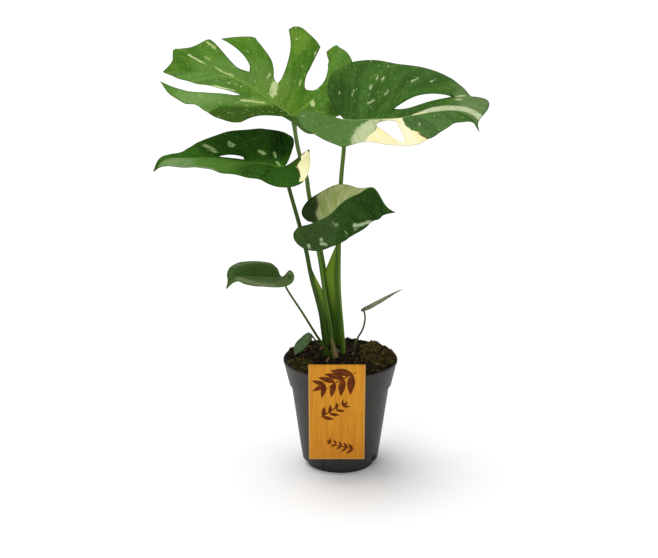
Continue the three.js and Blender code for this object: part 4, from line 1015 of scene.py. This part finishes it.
pot = {"rim": 60, "height": 116, "step": 89, "collarFoot": 54, "bodyTop": 51.7, "bodyFoot": 40.5,
       "foot": 36, "footHeight": 6, "wall": 1.1, "notches": (36, 108, 180, 252, 324), "notchWidth": 15,
       "notchTop": 16, "notchReach": 1.8, "holes": 6, "holeRing": 24, "holeRadius": 3.5, "raySteps": 30,
       "gap": 0.3, "sectors": 360, "spacing": 1.1}


# The radius inside a notch is held down to a slope from the foot out to the body; inset moves it inwards
def notched(angle, r, z, inset=0.0):
    foot, low, high = pot["foot"] + 0.4, pot["footHeight"] - 0.4, pot["notchTop"] + inset
    slope = foot - inset + (pot["bodyFoot"] + pot["notchReach"] - foot) * (z - low) / (high - low)
    centre = np.radians(np.array(pot["notches"]))[:, None, None]
    aside = np.abs(np.mod(angle[None] - centre + math.pi, turn) - math.pi).min(axis=0) * r
    inside = (aside < pot["notchWidth"] / 2 + inset) & (z > low - inset) & (z < high)
    return np.where(inside, np.minimum(r, slope), r)


# The outline goes up the outside, over the lip and down the inside
def potShape(rim, height, step, collarFoot, bodyTop, bodyFoot, foot, footHeight, wall, **others):
    outer = dense([
        (foot - 1, 0), (foot - 0.3, 0.3), (foot, 1), (foot + 0.6, footHeight - 1), (foot + 1, footHeight),
        (bodyFoot - 0.5, footHeight), (bodyFoot, footHeight + 0.5), (bodyTop, step - 1),
        (bodyTop + 0.3, step - 0.3), (collarFoot - 0.5, step), (collarFoot, step + 0.5),
        (rim - 0.6, height - 3), (rim - 0.1, height - 2.6), (rim, height - 2), (rim, height - 0.5),
        (rim - 0.2, height - 0.1), (rim - 0.5, height)], others["spacing"])
    inner = dense([
        (rim - wall, height), (rim - wall - 0.2, height - 0.3), (rim - wall - 0.2, height - 3),
        (collarFoot - wall, step + 1.6), (bodyTop - wall, step - 0.4), (bodyFoot - wall, footHeight + wall),
        (foot - wall, footHeight), (foot - wall - 0.4, wall + 0.6)], others["spacing"])

    def sideways(angle, r, z):
        outside = np.arange(len(r))[:, None] < len(outer)
        return np.where(outside, notched(angle, r, z), notched(angle, r, z, wall))

    shell = turned(np.concatenate([outer, inner]), others["sectors"], sideways)
    return joined([shell, floorShape(outer[0], inner[-1])])


# The floor has a like sector for each drain hole: a ring of points on the hole joined by straight lines
# to the sector's own outline, above and below, with the hole's wall between
def floorShape(below, above):
    parts, sector = [], turn / pot["holes"]
    arc = np.linspace(-0.5, 0.5, pot["sectors"] // pot["holes"] + 1) * sector
    ray = np.linspace(0, 1, pot["raySteps"])[1:-1, None]
    for number in range(pot["holes"]):
        middle = (number + 0.5) * sector
        hole = pot["holeRing"] * np.array([math.cos(middle), math.sin(middle)])
        sheets = []
        for radius, z in (below, above):
            rim = radius * np.stack([np.cos(middle + arc), np.sin(middle + arc)], -1)
            outline = np.concatenate([rim, rim[-1] * (1 - ray), [[0, 0]], rim[0] * ray])
            circle = hole + unit(outline - hole) * pot["holeRadius"]
            sheets.append(np.insert(np.concatenate([circle, outline]), 2, z, axis=1))
        n = len(outline)
        flat, ring, after = gridFaces(2, n, wrap=True), np.arange(n), np.roll(np.arange(n), -1)
        wall = np.stack([ring, after, after + 2 * n, ring + 2 * n], -1)
        parts.append({"points": np.concatenate(sheets),
                      "faces": np.concatenate([flat, flat[:, ::-1] + 2 * n, wall[:, ::-1]])})
    return joined(parts)


# Pot colour: near black with a slow mottle, grey upright streaks that are partly scuffs and partly painted
# highlight, and a darker foot
def potFinish():
    finish = Finish("pot", 0.5, Specular_IOR_Level=0.35)
    spot = finish.place()
    mottle = finish.noise(spot, 60, 4)
    finish.colour(ink(41, 38, 34))
    finish.lay(ink(52, 48, 43), mottle, 0.3, 0.7)
    # grey upright streaks in the pot's highlight grey: partly scuffs, partly painted highlight
    finish.lay(ink(88, 86, 82), finish.noise(finish.place(1, 1, 0.25), 240, 3), 0.62, 0.78, 0.4)
    finish.lay(ink(24, 21, 20), finish.axis(spot, 2), 0.03, 0.004, 0.6)
    finish.rough(mottle, 0.4, 0.6)
    finish.bump(finish.noise(spot, 1500, 2), 0.15, 0.08)
    return finish.material


addMesh("pot", "pot", potShape(**pot), [potFinish()])
print("pot done")


# Soil

soil = {"edge": 114.6, "crown": 119.5, "heap": 1.8, "rings": 90, "sectors": 240, "limit": 56.5,
        "chips": 1500, "crumbs": 3200, "moss": 4200, "mossLimit": 58, "jitter": 0.28, "tries": 12,
        "stalksClear": (crown["x"], crown["y"], 14), "shootClear": (15, 15, 2.5), "tagClear": (-4, -50, 10)}


# The surface: low at the wall, mounded to the crown, heaped a little behind and at the sides, with slow
# lumps
def soilHeight(x, y):
    r = np.hypot(x, y) / pot["rim"]
    mound = soil["edge"] + (soil["crown"] - soil["edge"]) * (1 - r * r)
    mound = mound + soil["heap"] * ease(r, 0.72, 0.93) * ease(y, -40, -10)
    return mound + 1.3 * np.sin(0.17 * x + 1) * np.cos(0.15 * y) + 0.7 * np.sin(0.33 * x - 0.27 * y)


# Fine relief: five octaves of crossed sines
def crumble(x, y):
    total = np.zeros_like(x)
    for octave in range(5):
        f = 0.5 * 1.9 ** octave
        wave = np.sin(f * x + 2.1 * np.sin(f * 0.7 * y + octave))
        total += wave * np.cos(f * y + 1.7 * np.sin(f * 0.6 * x)) / 1.6 ** octave
    return total


# The lower outline keeps a gap to the pot's floor, notches and wall
def soilLining(rim, step, collarFoot, bodyTop, bodyFoot, foot, footHeight, wall, gap, notchTop, **others):
    inset = wall + gap
    return np.array([
        (foot - inset - 0.4, wall + 0.6 + gap), (foot - inset, footHeight + 0.3),
        (bodyFoot - inset - 2.2, footHeight + inset), (bodyFoot - inset, notchTop + 2),
        (bodyTop - inset - 0.1, step + 0.2), (collarFoot - inset - 0.3, step + 2.2),
        (rim - inset - 1.1, soil["edge"] - 3)])


# The lining turned round, then rings from the wall to the middle over the crumbly surface
def soilShape():
    side, rows, columns = soilLining(**pot), soil["rings"], soil["sectors"]
    edge = pot["rim"] - pot["wall"] - pot["gap"] - 0.7
    r = edge * np.linspace(1, 0.004, rows)[:, None]
    x, y = r * np.cos(around(columns)), r * np.sin(around(columns))
    top = np.stack([x, y, soilHeight(x, y) + 0.55 * crumble(x, y) * ease(edge - r, 0, 2)], -1)
    middles = [[0, 0, side[0][1]], [0, 0, soilHeight(0.0, 0.0)]]
    points = np.concatenate([turned(side, columns)["points"], top.reshape(-1, 3), middles])
    return {"points": points, "faces": tubeFaces(len(side) + rows, columns)}


# Random turns: rotation matrices from unit quaternions
def randomTurns(count):
    w, x, y, z = unit(random.normal(size=(count, 4))).T
    return np.stack([1 - 2 * (y * y + z * z), 2 * (x * y - z * w), 2 * (x * z + y * w),
                     2 * (x * y + z * w), 1 - 2 * (x * x + z * z), 2 * (y * z - x * w),
                     2 * (x * z - y * w), 2 * (y * z + x * w), 1 - 2 * (x * x + y * y)], -1).reshape(-1, 3, 3)


# Places on the soil, even over a disc, that keep clear of the stalks and, at the front, of the tag
def soilPlaces(count, limit, inside=lambda x, y: True):
    tries = count * soil["tries"]
    r, angle = limit * np.sqrt(random.random(tries)), turn * random.random(tries)
    x, y = r * np.cos(angle), r * np.sin(angle)
    good = np.full(tries, True) & inside(x, y)
    for atX, atY, clear in (soil["stalksClear"], soil["shootClear"]):
        good &= np.hypot(x - atX, y - atY) > clear
    atX, atY, clear = soil["tagClear"]
    good &= ~((y < atY) & (np.abs(x - atX) < clear))
    return x[good][:count], y[good][:count]


# Copies of one small closed form: each corner is stretched, jittered, turned and moved to its place
def copies(form, x, y, z, sizes, turns, tone):
    count, corners = len(x), len(form["points"])
    points = form["points"][None] * sizes[:, None]
    points = points * (1 + soil["jitter"] * (random.random((count, corners, 1)) - 0.5))
    points = np.einsum("nij,ncj->nci", turns, points) + np.stack([x, y, z], -1)[:, None]
    faces = form["faces"][None] + corners * np.arange(count)[:, None, None]
    return {"points": points.reshape(-1, 3), "faces": faces.reshape(-1, 4),
            "values": {"tone": np.repeat(tone, corners)}}


# Twelve corners from the golden ratio, one unit from the middle
def icosahedron():
    g = (1 + 5 ** 0.5) / 2
    points = np.array([(-1, g, 0), (1, g, 0), (-1, -g, 0), (1, -g, 0), (0, -1, g), (0, 1, g), (0, -1, -g),
                       (0, 1, -g), (g, 0, -1), (g, 0, 1), (-g, 0, -1), (-g, 0, 1)]) / math.hypot(1, g)
    faces = np.array([(0, 11, 5), (0, 5, 1), (0, 1, 7), (0, 7, 10), (0, 10, 11), (1, 5, 9), (5, 11, 4),
                      (11, 10, 2), (10, 7, 6), (7, 1, 8), (3, 9, 4), (3, 4, 2), (3, 2, 6), (3, 6, 8),
                      (3, 8, 9), (4, 9, 5), (2, 4, 11), (6, 2, 10), (8, 6, 7), (9, 8, 1)])
    return {"points": points, "faces": np.concatenate([faces, faces[:, 2:]], axis=1)}


# Six corners on the axes, one unit from the middle
def octahedron():
    points = np.array([(1, 0, 0), (0, 1, 0), (-1, 0, 0), (0, -1, 0), (0, 0, 1), (0, 0, -1)], float)
    faces = np.array([(0, 1, 4), (1, 2, 4), (2, 3, 4), (3, 0, 4), (1, 0, 5), (2, 1, 5), (3, 2, 5), (0, 3, 5)])
    return {"points": points, "faces": np.concatenate([faces, faces[:, 2:]], axis=1)}


# Moss grows at the right and at the front left
def mossy(x, y):
    right = np.hypot((x - 42) / 22, (y - 8) / 36) < 1
    front = np.hypot((x + 44) / 16, (y + 26) / 18) < 1
    return right | front


# Chips and crumbs: many small ones and a few large, lying at any turn
def chipsShape():
    x, y = soilPlaces(soil["chips"], soil["limit"])
    sizes = (0.8 + 2.2 * random.random(len(x)) ** 2.2)[:, None] * np.array([1.5, 0.8, 0.45])
    chips = copies(icosahedron(), x, y, soilHeight(x, y) + 0.4 * random.random(len(x)), sizes,
                   randomTurns(len(x)), random.random(len(x)))
    x, y = soilPlaces(soil["crumbs"], soil["limit"])
    sizes = (0.35 + 0.6 * random.random(len(x)))[:, None] * np.array([1.0, 0.8, 0.7])
    crumbs = copies(octahedron(), x, y, soilHeight(x, y) + 0.5 * random.random(len(x)), sizes,
                    randomTurns(len(x)), random.random(len(x)))
    return joined([chips, crumbs])


# Moss stands nearly upright, and lower by the rim
def mossShape():
    x, y = soilPlaces(soil["moss"], soil["mossLimit"], mossy)
    tall = (0.9 + 1.6 * random.random(len(x))) * (1 - 0.45 * ease(np.hypot(x, y), 44, 57))
    sizes = np.stack([0.35 + 0 * tall, 0.35 + 0 * tall, tall], -1)
    lean = randomTurns(len(x)) * 0.35 + np.eye(3) * 0.8
    return copies(octahedron(), x, y, soilHeight(x, y) + 0.8, sizes, lean, random.random(len(x)))


# Soil colour: near black to brown by a lumpy noise, with paler specks
def soilFinish():
    finish = Finish("soil", 0.95, Specular_IOR_Level=0.15)
    speck = finish.noise(finish.place(), 900, 3)
    finish.colour(ink(14, 11, 6))
    finish.lay(ink(40, 31, 16), finish.noise(finish.place(), 130, 5, 0.65), 0.35, 0.7)
    finish.lay(ink(86, 68, 40), speck, 0.6, 0.72, 0.6)
    finish.bump(speck, 0.7, 0.6)
    return finish.material


# Each small piece has one colour, chosen by its tone value
def toneFinish(name, colours):
    finish = Finish(name, 0.9, Specular_IOR_Level=0.15)
    ramp = finish.node("ShaderNodeValToRGB", Fac=finish.value("tone"))
    ramp.color_ramp.interpolation = "CONSTANT"
    while len(ramp.color_ramp.elements) < len(colours):
        ramp.color_ramp.elements.new(0.5)
    for element, (start, colour) in zip(ramp.color_ramp.elements, colours):
        element.position, element.color = start, colour
    mottle = finish.noise(finish.place(), 1100, 3)
    finish.colour(ramp.outputs["Color"])
    finish.lay(ink(30, 22, 14), mottle, 0.35, 0.75, 0.5)
    finish.bump(mottle, 0.5, 0.3)
    return finish.material


addMesh("soil", "soil", soilShape(), [soilFinish()])
addMesh("soilChips", None, chipsShape(), [toneFinish("chips", [
    (0, ink(22, 16, 6)), (0.45, ink(38, 29, 11)), (0.76, ink(62, 47, 20)), (0.92, ink(96, 68, 32)),
    (0.985, ink(150, 108, 76))])], flat=True)
addMesh("moss", None, mossShape(), [toneFinish("moss", [
    (0, ink(52, 48, 12)), (0.3, ink(84, 76, 24)), (0.6, ink(112, 102, 40)), (0.85, ink(142, 128, 66))])])
print("soil done")


# Tag

tag = {"x": -4, "width": 57.5, "height": 111, "thick": 0.9, "top": (-63.5, 131.5),
       "lean": math.atan2(13.5, 94.5), "columns": 24, "rows": 46, "stakeWidth": 14, "film": 0.12,
       "stake": [(-63.3, 130.4), (-62.9, 131.6), (-56.3, 120), (-56, 114.5), (-50.4, 92.5), (-50.9, 90.9),
                 (-51.4, 92.5), (-57, 114.5), (-57.3, 119.6), (-62.6, 129)]}


# Places on the card's face: u to the right and v down, from the middle of its top edge, lifted forward
def onCard(u, v, lift=0.0):
    lean = tag["lean"]
    y = tag["top"][0] + tag["thick"] + v * math.sin(lean) - (tag["thick"] + lift) * math.cos(lean)
    z = tag["top"][1] - v * math.cos(lean) - (tag["thick"] + lift) * math.sin(lean)
    return np.stack(np.broadcast_arrays(tag["x"] + u, y, z), -1)


# The card, and its stake: an outline seen from the side, carried across the stake's width
def cardShape():
    u = np.linspace(-0.5, 0.5, tag["columns"])[None] * tag["width"]
    v = np.linspace(0, 1, tag["rows"])[:, None] * tag["height"]
    faces = gridFaces(tag["rows"], tag["columns"])[:, ::-1]
    card = thinShape(onCard(u, v), onCard(u, v, -tag["thick"]), faces)
    outline = np.array(tag["stake"], float)
    m, ring = len(outline), np.arange(len(outline))
    sides = [np.insert(outline, 0, tag["x"] + s * tag["stakeWidth"] / 2, axis=1) for s in (-1, 1)]
    flat = np.array([(0, 1, 8, 9), (1, 2, 8, 8), (2, 3, 7, 8), (3, 4, 6, 7), (4, 5, 6, 6)])
    walls = np.stack([ring, np.roll(ring, -1), np.roll(ring, -1) + m, ring + m], -1)
    stake = {"points": np.concatenate(sides), "grain": np.full((2 * m, 2), 0.3),
             "faces": np.concatenate([flat, flat[:, ::-1] + m, walls[:, ::-1]])}
    return joined([{**card, "grain": sheetGrain(u * grainUnit, v * grainUnit)}, stake])


# Card: warm wood-like grain from noise stretched down the card, a paler border and a darker foot
def cardFinish():
    finish = Finish("tag", 0.5, Specular_IOR_Level=0.25)
    fine = finish.noise(finish.grain(120, 8), 1.0, 2)
    place = finish.grain(1 / grainUnit, 1 / grainUnit)
    u, v = finish.math("ABSOLUTE", finish.axis(place, 0)), finish.axis(place, 1)
    finish.colour(ink(212, 136, 8))
    finish.lay(ink(234, 160, 26), finish.noise(finish.grain(26, 1.6), 1.0, 4, 0.6, 0.6), 0.3, 0.7)
    finish.lay(ink(172, 100, 14), fine, 0.5, 0.7, 0.3)
    finish.lay(ink(200, 106, 10), v, 60, 115, 0.3)
    edge = finish.step(u, tag["width"] / 2 - 2, tag["width"] / 2 - 0.8, 0.6)
    foot = finish.step(v, tag["height"] - 2, tag["height"] - 0.8, 0.6)
    finish.colour(finish.mix(finish.math("MAXIMUM", edge, foot), finish.now, ink(226, 176, 96)))
    finish.bump(fine, 0.1, 0.05)
    return finish.material


printed = {"steps": 22, "across": 7, "curve": 0.12, "stem": 1.3, "turn": 48, "shrink": 0.45, "wide": 0.34}


# One printed leaf: width along its length is a sine to a power, on a line that curves to one side; it
# lies on the card as a thin raised film
def printedLeaf(u, v, length, width, angle):
    s = np.linspace(0, 1, printed["steps"])[:, None]
    w = np.linspace(-1, 1, printed["across"])[None]
    aside = width / 2 * np.sin(math.pi * s ** 0.8) ** 0.9 * w + printed["curve"] * length * s ** 2
    along = length * s + 0 * w
    a = math.radians(angle)
    x = u + along * math.cos(a) - aside * math.sin(a)
    y = v - along * math.sin(a) - aside * math.cos(a)
    front, back = onCard(x, y, tag["film"]), onCard(x, y, 0.01)
    return thinShape(front, back, gridFaces(printed["steps"], printed["across"]))


# A sprig: a curved stem with paired leaves that shrink to its tip, and one leaf on the end
def sprig(u, v, length, angle, pairs, leafLength, bend):
    parts = []
    for k in range(pairs):
        f = (k + 0.6) / pairs
        way = math.radians(angle + bend * f / 2)
        x, y = u + length * f * math.cos(way), v - length * f * math.sin(way)
        size = leafLength * (1 - printed["shrink"] * f)
        for side in (1, -1, 0)[:3 if k == pairs - 1 else 2]:
            aim = angle + bend * f + side * printed["turn"]
            parts.append(printedLeaf(x, y, size, size * printed["wide"], aim))
    return parts + [printedLeaf(u, v, length, printed["stem"], angle + bend / 2)]


# Print colour: patchy dark brown
def printFinish():
    finish = Finish("tagPrint", 0.6, Specular_IOR_Level=0.1)
    patchy = finish.noise(finish.place(), 260, 3)
    finish.colour(ink(92, 38, 4))
    finish.lay(ink(128, 62, 12), patchy, 0.35, 0.7)
    return finish.material


addMesh("tag", "tag", cardShape(), [cardFinish()])
prints = (sprig(21, 8, 40, 212, 4, 25, -14) + sprig(-19, 62, 32, 24, 4, 13, 14)
          + sprig(20, 100, 30, 166, 5, 9, -14))
addMesh("tagPrint", None, joined(prints), [printFinish()])
print("tag done")


# Floor, light and camera

# A wide pale floor
def addStage():
    size = 20.0
    mesh = bpy.data.meshes.new("floor")
    corners = [(-size, -size, 0), (size, -size, 0), (size, size, 0), (-size, size, 0)]
    mesh.from_pydata(corners, [], [(0, 1, 2, 3)])
    floor = bpy.data.objects.new("floor", mesh)
    link(floor)
    finish = Finish("floor", 0.9)
    mottle = finish.noise(finish.place(), 3, 2)
    finish.colour(finish.mix(mottle, (0.92, 0.92, 0.92, 1), (0.94, 0.94, 0.94, 1)))
    mesh.materials.append(finish.material)


# A round lamp, turned to face its target
def addLight(name, place, size, power, target=(0, 0, 0.25)):
    light = bpy.data.lights.new(name, "AREA")
    light.shape, light.size, light.energy = "DISK", size, power
    made = bpy.data.objects.new(name, light)
    made.location = place
    x, y, z = unit(np.array(target) - np.array(place))
    made.rotation_euler = (math.acos(-z), 0, math.atan2(y, x) - math.pi / 2)
    link(made)


addStage()
sun = bpy.data.lights.new("sky", "SUN")
sun.energy, sun.angle = 1.75, math.radians(45)
overhead = bpy.data.objects.new("sky", sun)
overhead.rotation_euler = (math.radians(-12), math.radians(-14), 0)
link(overhead)
addLight("key", (-0.9, -1.5, 1.2), 0.9, 6)
world = bpy.data.worlds.new("studio")
world.use_nodes = True
world.node_tree.nodes["Background"].inputs["Color"].default_value = (1, 1, 1, 1)
world.node_tree.nodes["Background"].inputs["Strength"].default_value = 0.62
bpy.context.scene.world = world
bpy.context.scene.view_settings.view_transform = "Standard"

view = {"place": (-0.012, -1.3, 0.59), "down": 16.6, "focal": 1312, "width": 658}
camera = bpy.data.cameras.new("camera")
camera.sensor_width = 36
camera.lens = view["focal"] * camera.sensor_width / view["width"]
viewer = bpy.data.objects.new("camera", camera)
viewer.location = view["place"]
viewer.rotation_euler = (math.radians(90 - view["down"]), 0, 0)
link(viewer)
bpy.context.scene.camera = viewer
